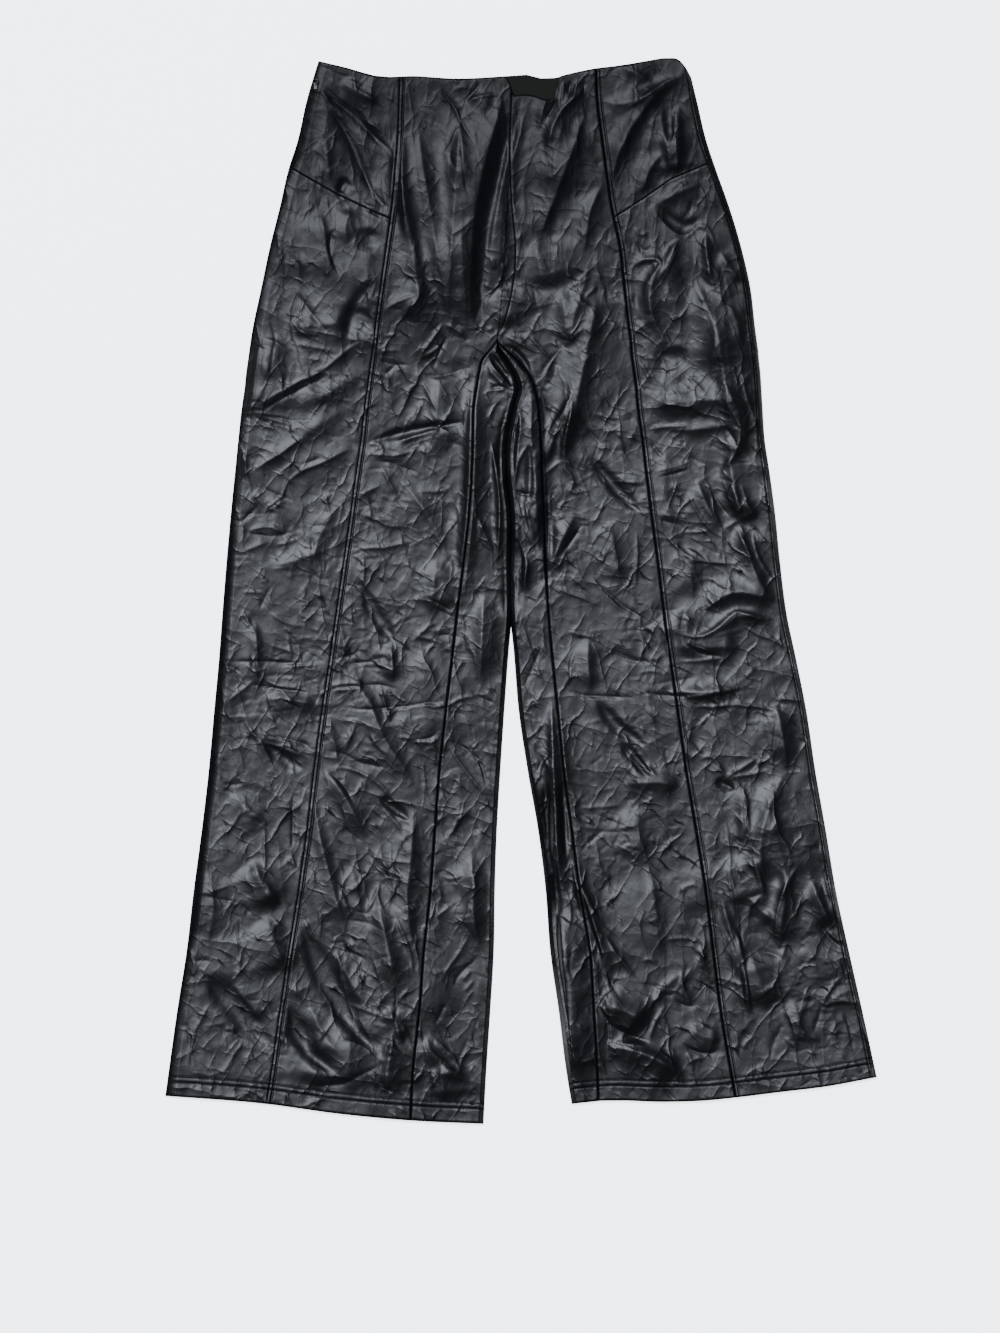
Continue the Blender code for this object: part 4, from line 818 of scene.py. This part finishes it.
def levelled(distance, width):
    """Distance from a seam at which the height is read: 0 in the seam's flat strip, then catching up."""
    fade = np.minimum(SEAM_FADE, width / 2) + 1e-6
    band = np.minimum(SEAM_BAND, BAND_SHARE * fade)
    return np.where(distance < fade, np.maximum(0.0, (distance - band) * fade / (fade - band)), distance)


def groove(distance, centre, half_width, depth):
    """A narrow bell-shaped dip along a seam: -depth times exp(-d squared), where d is how far the distance
    from the seam is from the centre of the dip, over its half width."""
    return -depth * np.exp(-((distance - centre) / half_width) ** 2)


def sag(across, nominal):
    """How far the front's waist edge hangs down where it sags, fading out under the waist."""
    sideways = step_up(across, SAG[0], SAG[1]) * (1 - step_up(across, SAG[2], SAG[3]))
    return SAG_DEPTH * sideways * step_up(nominal, WAIST_AT - SAG_REACH, WAIST_AT)


def top_grid(side, nominal, first, last, inward, drops, yoke_fade=None):
    """The upper layer between two seams, with its edges turned down at the seams, the waist and the hem
    and a groove under each row of stitches at the hem.  Its height is the relief's, read at the distance
    from the seams that levelled gives, plus the hem's thickness, plus those dips.

    drops are how far it turns down at the first and the last seam, for each cross line or all of them.
    yoke_fade, if given, is (from, to): the distances from the first seam over which the flat strip of the
    yoke seam ends.  Gives places across, places along, heights and distances from the first seam."""
    across, from_first, from_last = places_between(first, last, inward)
    width = from_first + from_last
    read = across + inward * (levelled(from_first, width) - from_first)
    read -= inward * (levelled(from_last, width) - from_last)
    off = np.abs(nominal - YOKE_AT)
    shift = (levelled(off, 4 * SEAM_FADE) - off) * np.sign(nominal - YOKE_AT)
    weight = np.ones_like(across) if yoke_fade is None else 1 - step_up(from_first, *yoke_fade)
    read_nominal = nominal[:, None] + weight * shift[:, None]
    along = cross_line(side, across, nominal[:, None]) - sag(across, nominal[:, None])
    height = relief(read, cross_line(side, read, read_nominal) - sag(read, read_nominal))
    from_hem = along - smooth_line(HEM[side], across)
    height += HEM_THICK * (1 - step_up(from_hem, *HEM_TOP))
    for distance in HEM_ROWS:
        height += groove(from_hem, distance, DIP, STITCH_SINK)
    from_waist = smooth_line(WAIST, across) - sag(across, WAIST_AT) - along
    inside = step_up(np.minimum(from_hem, np.abs(from_waist)), 0.0, SEAM_END)
    for distance, drop in ((from_first, drops[0]), (from_last, drops[1])):
        height += groove(distance, 0.0, DIP, np.reshape(drop, (-1, 1)) * inside)
    for distance in (from_hem, np.abs(from_waist)):
        height += groove(distance, 0.0, DIP, EDGE_DROP)
    return across, along, height, from_first


def round_over(edge, inward, depth, low, high, start, end):
    """Columns round a folded edge: angle 0 is outermost, 90 on top, -90 on the ground.  The lower side is
    an ellipse and the upper one nearly a bevel, with cos and sin to a power, as a worn-in fold has."""
    turn = np.radians(np.linspace(start, end, 1 + round(abs(end - start) / ROLL_STEP)))[None]
    depth, low, high = (np.broadcast_to(value, edge.shape)[:, None] for value in (depth, low, high))
    middle = low + FOLD_LEVEL * (high - low)
    power = np.where(turn > 0, BEVEL, 1.0)
    across = edge[:, None] + inward * depth * (1 - np.abs(np.cos(turn)) ** power)
    reach = np.where(turn > 0, high - middle, low - middle)
    return across, middle + reach * np.abs(np.sin(turn)) ** power


def side_seam_half(edge, nominal, inward, top, upward):
    """Columns from the side seam, up over the top or down to the ground, with the seam's own strip
    upright so that the two pieces meet face to face.  The seam lies lower under the zip's end."""
    middle = STACK * (FOLD_LEVEL + (0.5 - FOLD_LEVEL) * step_up(nominal, *ZIP_ENDS))[:, None]
    strip = middle + upward * SEAM_UPRIGHT
    turn = np.radians(np.linspace(0, 90, 1 + round(90 / ROLL_STEP)))[None]
    power = BEVEL if upward > 0 else 1.0
    across = edge[:, None] + inward * ROLL * (1 - np.cos(turn) ** power)
    height = strip + (np.broadcast_to(top, edge.shape)[:, None] - strip) * np.sin(turn) ** power
    return np.hstack((edge[:, None], across)), np.hstack((middle + upward * SEAM_GAP / 2, height))


def painted_shade_share(side, across, along, nominal):
    """Share of the full gloss at each point, as painted shade: less along the folded edges and the fold over
    the left inseam, along the rows of stitches, and at the waist and the hems, to darken them."""
    share = np.ones_like(across)
    for (at_side, name), widths in PAINTED_SHADE_RIMS.items():
        if at_side == side:
            off = np.abs(across - on_line(side, name, nominal)[:, None])
            width = np.interp(nominal, *zip(*widths))[:, None]
            share *= RIM_GLOSS + (1 - RIM_GLOSS) * step_up(off, RIM_CORE * width, width)
    from_hem = along - smooth_line(HEM[side], across)
    for distance in HEM_ROWS:
        share *= 1 + groove(from_hem, distance, ROW_DULL, 1 - RIM_GLOSS)
    from_end = np.minimum(WAIST_AT - nominal, nominal - HEM_AT)[:, None]
    return share * (RIM_GLOSS + (1 - RIM_GLOSS) * step_up(from_end, END_CORE, END_RIM))


def add_object(name, data):
    """A new object in the scene with this mesh, lamp or camera."""
    added = bpy.data.objects.new(name, data)
    bpy.context.scene.collection.objects.link(added)
    return added


def add_mesh(name, points, faces, material):
    """A piece with smooth shading made of points, in millimetres, and four-cornered faces."""
    mesh = bpy.data.meshes.new(name)
    mesh.from_pydata((points * MM).tolist(), [], faces.tolist())
    mesh.shade_smooth()
    mesh.materials.append(material)
    return add_object(name, mesh)


def shell(name, across, along, height, outward, material, gloss=None, keep=None):
    """One piece of cloth: the grid of points as faces, given its thickness inwards.

    outward is +1 where the columns run towards +X on top and -1 where they run towards -X.  gloss, a share
    of the sheen for each point that paints shade, goes with the mesh for the material to read, and keep
    says which faces are made."""
    index = np.arange(across.size).reshape(across.shape)
    corners = [index[:-1, :-1], index[1:, :-1], index[1:, 1:], index[:-1, 1:]]
    faces = np.stack(corners[::outward], axis=-1)
    if keep is not None:
        faces = faces[keep]
    used, faces = np.unique(faces, return_inverse=True)
    points = np.stack((across, along, height), axis=-1).reshape(-1, 3)[used]
    piece = add_mesh(name, points, faces.reshape(-1, 4), material)
    if gloss is not None:
        made = piece.data.attributes.new("gloss", "FLOAT", "POINT")
        made.data.foreach_set("value", gloss.ravel()[used])
    wall = piece.modifiers.new("thickness", "SOLIDIFY")
    wall.thickness = SHELL * MM
    wall.offset = -1.0
    wall.use_rim_only = True      # the inner faces never show, and the edges do
    return piece


def hem_path(side, across, along, height, distance):
    """Path of a row of stitches at one distance over the hem, read from the columns of a grid."""
    from_hem = along - smooth_line(HEM[side], across)
    path = []
    for x, y, z, off in zip(across.T, along.T, height.T, from_hem.T):
        order = np.argsort(off)
        path.append([np.interp(distance, off[order], value[order]) for value in (x, y, z)])
    return np.array(path)


def stitches(name, paths, material):
    """Rows of thread, each a short six-sided tube that arches over the cloth: sin of the share of its
    length gives its rise, and its ends dip into the needle holes."""
    ring = np.linspace(0, 2 * math.pi, 6, endpoint=False)
    share = np.linspace(0, 1, 5)
    points, faces = [], []
    start = 0
    for path in paths:
        runs = np.hypot(*np.diff(path[:, :2], axis=0).T)
        place = np.concatenate(((0,), np.cumsum(runs)))
        count = int(place[-1] / STITCH_PITCH)
        begin = (np.arange(count) + 0.5) * place[-1] / count - STITCH_LENGTH / 2
        at = begin[:, None] + STITCH_LENGTH * share[None]
        middle = np.stack([np.interp(at, place, path[:, axis]) for axis in range(3)], axis=-1)
        run = middle[:, -1:] - middle[:, :1]
        run[..., 2] = 0
        run /= np.linalg.norm(run, axis=-1, keepdims=True)
        sideways = np.stack((-run[..., 1], run[..., 0], run[..., 2]), axis=-1)
        middle[..., 2] += STITCH_RISE * np.sin(math.pi * share)[None] - STITCH_DIP
        swell = STITCH_END + (1 - STITCH_END) * np.sin(math.pi * share)
        thick = STITCH_RADIUS * swell[None, :, None, None]
        turn = (np.cos(ring)[None, None, :, None] * sideways[:, :, None]
                + np.sin(ring)[None, None, :, None] * np.array((0, 0, 1.0)))
        body = middle[:, :, None] + thick * turn
        index = start + np.arange(body[..., 0].size).reshape(body.shape[:3])
        here, next_ring = index[:, :-1], index[:, 1:]
        quad = np.stack((here, np.roll(here, -1, 2), np.roll(next_ring, -1, 2), next_ring), axis=-1)
        points.append(body.reshape(-1, 3))
        faces.append(quad.reshape(-1, 4)[:, ::-1])
        start += body[..., 0].size
    return add_mesh(name, np.vstack(points), np.vstack(faces), material)


def linear(hex_colour):
    """sRGB hex to the linear red, green, blue and opaque alpha that shaders take."""
    parts = [int(hex_colour[i:i + 2], 16) / 255 for i in (1, 3, 5)]
    return (*(p / 12.92 if p <= 0.04045 else ((p + 0.055) / 1.055) ** 2.4 for p in parts), 1.0)


def node(tree, kind, **settings):
    """Adds a node.  Each setting is a property of it or, with _ for a space, a socket of it, which takes a
    constant or is linked to the output that is given.  _0 and so on are sockets by number."""
    made = tree.nodes.new(kind)
    for key, value in settings.items():
        if hasattr(made, key):
            setattr(made, key, value)
            continue
        socket = made.inputs[int(key[1:])] if key[0] == "_" else made.inputs[key.replace("_", " ")]
        if isinstance(value, bpy.types.NodeSocket):
            tree.links.new(value, socket)
        else:
            socket.default_value = value
    return made


def new_material(name, colour, roughness, **sockets):
    """A Principled material with constants set on its own sockets.  Gives it, its tree and its shader."""
    material = bpy.data.materials.new(name)
    material.use_nodes = True
    shader = material.node_tree.nodes["Principled BSDF"]
    shader.inputs["Base Color"].default_value = linear(colour)
    shader.inputs["Roughness"].default_value = roughness
    for key, value in sockets.items():
        shader.inputs[key.replace("_", " ")].default_value = value
    return material, material.node_tree, shader


def crumpled(tree, place, along):
    """Normal of the crumpled film.  Each layer of it is a bump as high as the distance to the nearest of
    scattered points, to a power, on a plane that is turned, stretched and bent, and shows in patches."""
    wander = node(tree, "ShaderNodeTexNoise", Scale=1 / (BEND_CELL * MM), Detail=2.0, Vector=place)
    bent = node(tree, "ShaderNodeVectorMath", operation="MULTIPLY_ADD", _0=wander.outputs["Color"],
                _1=(BEND * MM, BEND * MM, 0.0), _2=place)
    zones = [node(tree, "ShaderNodeMapRange", interpolation_type="SMOOTHSTEP", Value=along,
                  From_Min=LEGS_TO_SEAT[0], From_Max=LEGS_TO_SEAT[1], To_Min=legs, To_Max=seat)
             for legs, seat in ZONES]
    normal = None
    for cell, turn, stretch, slope, power, zone in CRUMPLES:
        lie = node(tree, "ShaderNodeMapping", vector_type="TEXTURE", Rotation=(0, 0, math.radians(turn)),
                   Scale=(1.0, stretch, 1.0), Vector=bent.outputs[0])
        plane = node(tree, "ShaderNodeTexVoronoi", voronoi_dimensions="2D", Scale=1 / (cell * MM),
                     Vector=lie.outputs[0])
        hollow = node(tree, "ShaderNodeMath", operation="POWER", _0=plane.outputs["Distance"], _1=power)
        patch = node(tree, "ShaderNodeTexNoise", noise_dimensions="2D", Scale=1 / (PATCH * cell * MM),
                     Vector=lie.outputs[0])
        share = node(tree, "ShaderNodeMapRange", Value=patch.outputs["Fac"], From_Min=PATCH_EDGE[0],
                     From_Max=PATCH_EDGE[1], To_Min=PATCH_REST, To_Max=zones[zone].outputs["Result"])
        under = {"Normal": normal} if normal else {}
        bump = node(tree, "ShaderNodeBump", Distance=slope * cell * MM, Height=hollow.outputs[0],
                    Strength=share.outputs["Result"], **under)
        normal = bump.outputs["Normal"]
    return normal


def coated_cloth():
    """Black polyurethane film on a knit backing, cast and embossed, then crushed: half-gloss, with a fine
    grain and a web of small crinkles that catch the light as short bright lines.  Its sheen is lowered as
    painted shade towards the waist and the hems, and along the folded edges, the inseam fold and the rows
    of stitches, as the mesh's gloss share gives."""
    material, tree, shader = new_material("polyurethane coated cloth", "#08080a", 0.42,
                                          Specular_IOR_Level=0.18)
    place = node(tree, "ShaderNodeTexCoord").outputs["Object"]
    along = node(tree, "ShaderNodeSeparateXYZ", Vector=place).outputs["Y"]
    small = node(tree, "ShaderNodeTexNoise", Scale=1 / (5.5 * MM), Detail=3.0, Roughness=0.6, Vector=place)
    # the embossed grain is 0.4 mm; it is drawn at 0.9 mm so that it shows
    grain = node(tree, "ShaderNodeTexVoronoi", Scale=1 / (0.9 * MM), Vector=place)
    normal = crumpled(tree, place, along)
    # small crinkles and the grain, over the crumple: strength, depth and height of each
    for strength, depth, height in ((0.5, 0.13 * MM, small.outputs["Fac"]),
                                    (0.2, 0.05 * MM, grain.outputs["Distance"])):
        bump = node(tree, "ShaderNodeBump", Strength=strength, Distance=depth, Height=height, Normal=normal)
        normal = bump.outputs["Normal"]
    tree.links.new(normal, shader.inputs["Normal"])
    # painted shade: the mesh's gloss share lowers the sheen along edges, the inseam fold, stitch rows, waist
    # and hems
    painted_shade = node(tree, "ShaderNodeAttribute", attribute_name="gloss")
    sheen = node(tree, "ShaderNodeMath", operation="MULTIPLY", _0=painted_shade.outputs["Fac"], _1=SHEEN)
    # painted shade: the sheen fades towards the waist and the hems, where less light falls
    for start, end, share in PAINTED_SHADE_FADES:
        fade = node(tree, "ShaderNodeMapRange", interpolation_type="SMOOTHSTEP", Value=along, From_Min=start,
                    From_Max=end, To_Min=1.0, To_Max=share)
        sheen = node(tree, "ShaderNodeMath", operation="MULTIPLY", _0=sheen.outputs[0],
                     _1=fade.outputs["Result"])
    tree.links.new(sheen.outputs[0], shader.inputs["Specular IOR Level"])
    wear = node(tree, "ShaderNodeTexNoise", Scale=1 / (38 * MM), Detail=4.0, Vector=place)
    gloss = node(tree, "ShaderNodeMapRange", Value=wear.outputs["Fac"], To_Min=0.365, To_Max=0.445)
    tree.links.new(gloss.outputs["Result"], shader.inputs["Roughness"])
    return material


def woven(name, colour, ribs):
    """Woven polyester: matt, with diagonal ribs in low relief.  The real threads are 0.2 to 0.5 mm apart;
    ribs is the spacing that they are drawn at, so that they show."""
    material, tree, shader = new_material(name, colour, 0.75, Specular_IOR_Level=0.1)
    place = node(tree, "ShaderNodeTexCoord").outputs["Object"]
    # the pattern turns by 10 radians for each unit along X and along Y
    weave = node(tree, "ShaderNodeTexWave", bands_direction="DIAGONAL", Distortion=1.0, Vector=place,
                 Scale=2 * math.pi / (10 * math.sqrt(2) * ribs))
    bump = node(tree, "ShaderNodeBump", Strength=0.5, Distance=0.1 * MM, Height=weave.outputs["Fac"])
    tree.links.new(bump.outputs["Normal"], shader.inputs["Normal"])
    return material


def nickel_plate():
    """Dark nickel plate on a die-cast zip slider: cool grey metal with fine rub marks."""
    material, tree, shader = new_material("dark nickel plate", "#3c3c3e", 0.35, Metallic=1.0)
    place = node(tree, "ShaderNodeTexCoord").outputs["Object"]
    rub = node(tree, "ShaderNodeTexNoise", Scale=1 / (1.2 * MM), Detail=4.0, Vector=place)
    gloss = node(tree, "ShaderNodeMapRange", Value=rub.outputs["Fac"], To_Min=0.22, To_Max=0.42)
    tree.links.new(gloss.outputs["Result"], shader.inputs["Roughness"])
    return material


def ride(piece, nodes):
    """The piece goes with the garment and stands for its CAD nodes, which it hides."""
    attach(piece, "garment")
    if nodes:
        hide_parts(*nodes)


def flat_cut(side, nominal, first, last, more):
    """Width, length and area in metres of the cloth that is cut for a panel between two seams, where it
    goes further than the straight way across by more, round its edges, at each cross line."""
    width = np.abs(last - first) + more
    lines = np.stack([cross_line(side, seam, nominal) for seam in (first, last)])
    area = ((width[1:] + width[:-1]) / 2 * -np.diff(lines.mean(0))).sum()
    return width.max() * MM, np.ptp(lines) * MM, area * MM * MM


def front_edge_panel(kind, side, start, end, yoke_gap, cloth):
    """Yoke or side leg panel, from the side seam to the princess seam.

    yoke_gap is +1 on the yoke and -1 on the leg panel, which draw back from their seam by half its gap."""
    inward = INWARD[side]
    nominal = rows_from(start, end)
    edge = on_line(side, "side", nominal)
    princess = on_line(side, "princess", nominal)
    first = edge + inward * (ROLL if side == "R" else SIDE_STRIP - CLOSE)
    drops = (0.0, SOFT_DROP) if side == "R" else (STRIP_DROP, EDGE_DROP)
    across, along, height, _ = top_grid(side, nominal, first, princess, inward, drops)
    if side == "R":
        roll_x, roll_z = side_seam_half(edge, nominal, inward, height[:, 0], 1)
        across, height = np.hstack((roll_x, across)), np.hstack((roll_z, height))
        along = np.hstack((cross_line(side, roll_x, nominal[:, None]), along))
    off_yoke = np.abs(nominal - YOKE_AT)[:, None]
    height = height + groove(off_yoke, 0.0, DIP, SOFT_DROP) * (height > STACK / 2 + 2)    # not down the roll
    along[nominal == YOKE_AT] += yoke_gap * (SEAM_GAP / 2 - CLOSE)
    if side == "L":
        height += groove((across - princess[:, None]) * -inward, PRINCESS_ROW, ROW_DIP, STITCH_SINK)
    cut = flat_cut(side, nominal, first, princess, ROLL + STACK / 4 if side == "R" else 0.0)
    piece = shell(f"{kind}_{NAME[side]}_cloth", across, along, height, inward, cloth,
                  painted_shade_share(side, across, along, nominal))
    return piece, (across, along, height), cut


def front_centre(side, cloth):
    """Centre panel: from the princess seam to the centre-front seam and, below the crotch, the inseam."""
    inward = INWARD[side]
    nominal = rows_from(WAIST_AT, HEM_AT)
    princess = on_line(side, "princess", nominal)
    inseam = on_line(side, "inseam", nominal)
    over_crotch = step_up(nominal, CROTCH_AT - CROTCH_FADE, CROTCH_AT + CROTCH_FADE)
    drops = (SOFT_DROP if side == "R" else EDGE_DROP, EDGE_DROP + (SOFT_DROP - EDGE_DROP) * over_crotch)
    inseam += inward * CLOSE * over_crotch
    across, along, height, from_first = top_grid(side, nominal, princess, inseam, inward, drops, YOKE_FADE)
    if side == "R":
        height += groove(from_first, PRINCESS_ROW, LAP_DIP, LAP_DROP)
    piece = shell(f"front_centre_{NAME[side]}_cloth", across, along, height, inward, cloth,
                  painted_shade_share(side, across, along, nominal))
    return piece, (across, along, height), flat_cut(side, nominal, princess, inseam, 0.0)


def back_leg(side, cloth):
    """Back leg: flat on the ground from the side to the centre-back seam or, below the crotch, to the
    inner leg edge, where it wraps over to the inseam on top.  The left one wraps over its side too."""
    inward = INWARD[side]
    nominal = rows_from(WAIST_AT, HEM_AT)
    edge = on_line(side, "side", nominal)
    inner = on_line(side, "inner", nominal) + inward * LEG_PRESS / 2
    inseam = on_line(side, "inseam", nominal)
    if side == "R":
        side_x, side_z = side_seam_half(edge, nominal, inward, 0.0, -1)
    else:
        seam = edge + inward * SIDE_STRIP
        top = relief(seam, cross_line(side, seam, nominal))
        off = np.array((SEAM_GAP / 2 - CLOSE, 0.5, 1.0))[None]
        strip_x, strip_z = seam[:, None] - inward * off, top[:, None] + groove(off, 0.0, DIP, STRIP_DROP)
        roll_x, roll_z = round_over(edge, inward, STRIP_ROLL, 0.0, top, 90, -90)
        side_x, side_z = np.hstack((strip_x, roll_x)), np.hstack((strip_z, roll_z))
    strip = np.abs(inner - inseam)
    depth = np.where(nominal <= WRAP_AT, np.minimum(INNER_ROLL, NARROW_ROLL * strip), 0.0)
    flat_start = edge + inward * (ROLL if side == "R" else STRIP_ROLL)
    flat_end = inner - inward * depth
    share = np.linspace(0, 1, 13)[None, 1:]
    flat_x = flat_start[:, None] + (flat_end - flat_start)[:, None] * share
    top_x, top_y, top_z, _ = top_grid(side, nominal, flat_end, inseam, -inward, (0.0, EDGE_DROP), NO_YOKE)
    inner_x, inner_z = round_over(inner, -inward, depth, 0.0, top_z[:, 0], -90, 90)
    across = np.hstack((side_x, flat_x, inner_x[:, 1:], top_x))
    height = np.hstack((side_z, np.zeros_like(flat_x), inner_z[:, 1:], top_z))
    along = cross_line(side, across, nominal[:, None])
    keep = np.ones((len(nominal) - 1, across.shape[1] - 1), bool)
    keep[:int(np.flatnonzero(nominal == WRAP_AT)[0]), side_x.shape[1] + flat_x.shape[1] - 1:] = False
    more = np.where(nominal <= WRAP_AT, strip + STACK / 2, 0.0)
    more += STACK / 4 if side == "R" else SIDE_STRIP + STACK / 2
    piece = shell(f"back_{NAME[side]}_cloth", across, along, height, -inward, cloth,
                  painted_shade_share(side, across, along, nominal), keep)
    return piece, (top_x, top_y, top_z), flat_cut(side, nominal, edge, inner, more)


def waist_facing(cloth):
    """The facing inside the back waist: a strip that follows the waist edge on the back's inner face."""
    down = np.linspace(FACING_EDGE, FACING_DEEP, 14)[:, None]
    across = np.linspace(*FACING, 60)[None] + np.zeros_like(down)
    along = smooth_line(WAIST, across) - down
    height = FACING_TOP + FACING_WAVE * lattice_noise(across, along, FACING_CELL, 40)
    return shell("waist_facing", across, along, height, 1, cloth)


cloth = coated_cloth()
facing_cloth = woven("woven polyester satin", "#0d0d0a", 3.1 * MM)
thread = woven("spun polyester thread", "#141415", 1.8 * MM)
tape = woven("woven polyester tape", "#101011", 4.4 * MM)
nickel = nickel_plate()

panels = []
for side in NAME:
    for kind, start, end, gap in (("front_yoke", WAIST_AT, YOKE_AT, 1), ("front_side", YOKE_AT, HEM_AT, -1)):
        panels.append((kind, side, front_edge_panel(kind, side, start, end, gap, cloth)))
    panels.append(("front_centre", side, front_centre(side, cloth)))
    panels.append(("back", side, back_leg(side, cloth)))

facing = waist_facing(facing_cloth)
ride(facing, ())

for kind, side, (piece, grid, (width, length, area)) in panels:
    name = f"{kind}_{NAME[side]}"
    ride(piece, (name,))
    if kind != "front_yoke":
        rows = [hem_path(side, *grid, distance) for distance in HEM_ROWS]
        sewn = stitches(f"{name}_hem_stitches", rows, thread)
        ride(sewn, ())

for name, finish in (("side_zip_chain", tape), ("zip_slider", nickel), ("zip_pull", nickel)):
    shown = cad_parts[name]
    shown.data.materials.clear()
    shown.data.materials.append(finish)

# floor, light and camera
bpy.ops.mesh.primitive_plane_add(size=40, location=(0, 0, -FLOOR_CLEAR * MM))
floor = bpy.context.object
floor.name = "floor"
# the paint glows so that the floor stays pale and even under the low light
floor_paint, _, _ = new_material("matt floor paint", "#eef1f5", 0.8, Emission_Strength=3.0,
                                 Emission_Color=linear("#f4f8fc"))
floor.data.materials.append(floor_paint)


def softbox(name, tilt, turn, distance, size, power):
    """A square softbox that shines on the garment: tilt is its angle off straight up and turn its bearing
    from +X, in degrees, distance and size are in metres, and power is in watts."""
    lamp = bpy.data.lights.new(name, "AREA")
    lamp.size = size
    lamp.energy = power
    lamp.color = linear("#f0f5ff")[:3]
    box = add_object(name, lamp)
    tilt, turn = math.radians(tilt), math.radians(turn)
    box.location = (distance * math.sin(tilt) * math.cos(turn), distance * math.sin(tilt) * math.sin(turn),
                    distance * math.cos(tilt))
    box.rotation_euler = (0, tilt, turn)


softbox("key_softbox", tilt=21, turn=128, distance=12.0, size=4.0, power=3300.0)
softbox("fill_softbox", tilt=75, turn=-60, distance=6.0, size=3.0, power=8.0)

world = bpy.data.worlds.new("studio")
world.use_nodes = True
world.node_tree.nodes["Background"].inputs["Color"].default_value = linear("#c8ccd2")
world.node_tree.nodes["Background"].inputs["Strength"].default_value = 0.08
bpy.context.scene.world = world

camera = add_object("camera", bpy.data.cameras.new("camera"))
camera.data.type = "ORTHO"
camera.data.ortho_scale = BOARD_HEIGHT * MM
camera.location = ((BOARD_CORNER[0] + BOARD_WIDTH / 2) * MM, (BOARD_CORNER[1] - BOARD_HEIGHT / 2) * MM,
                   CAMERA_HEIGHT)
bpy.context.scene.camera = camera
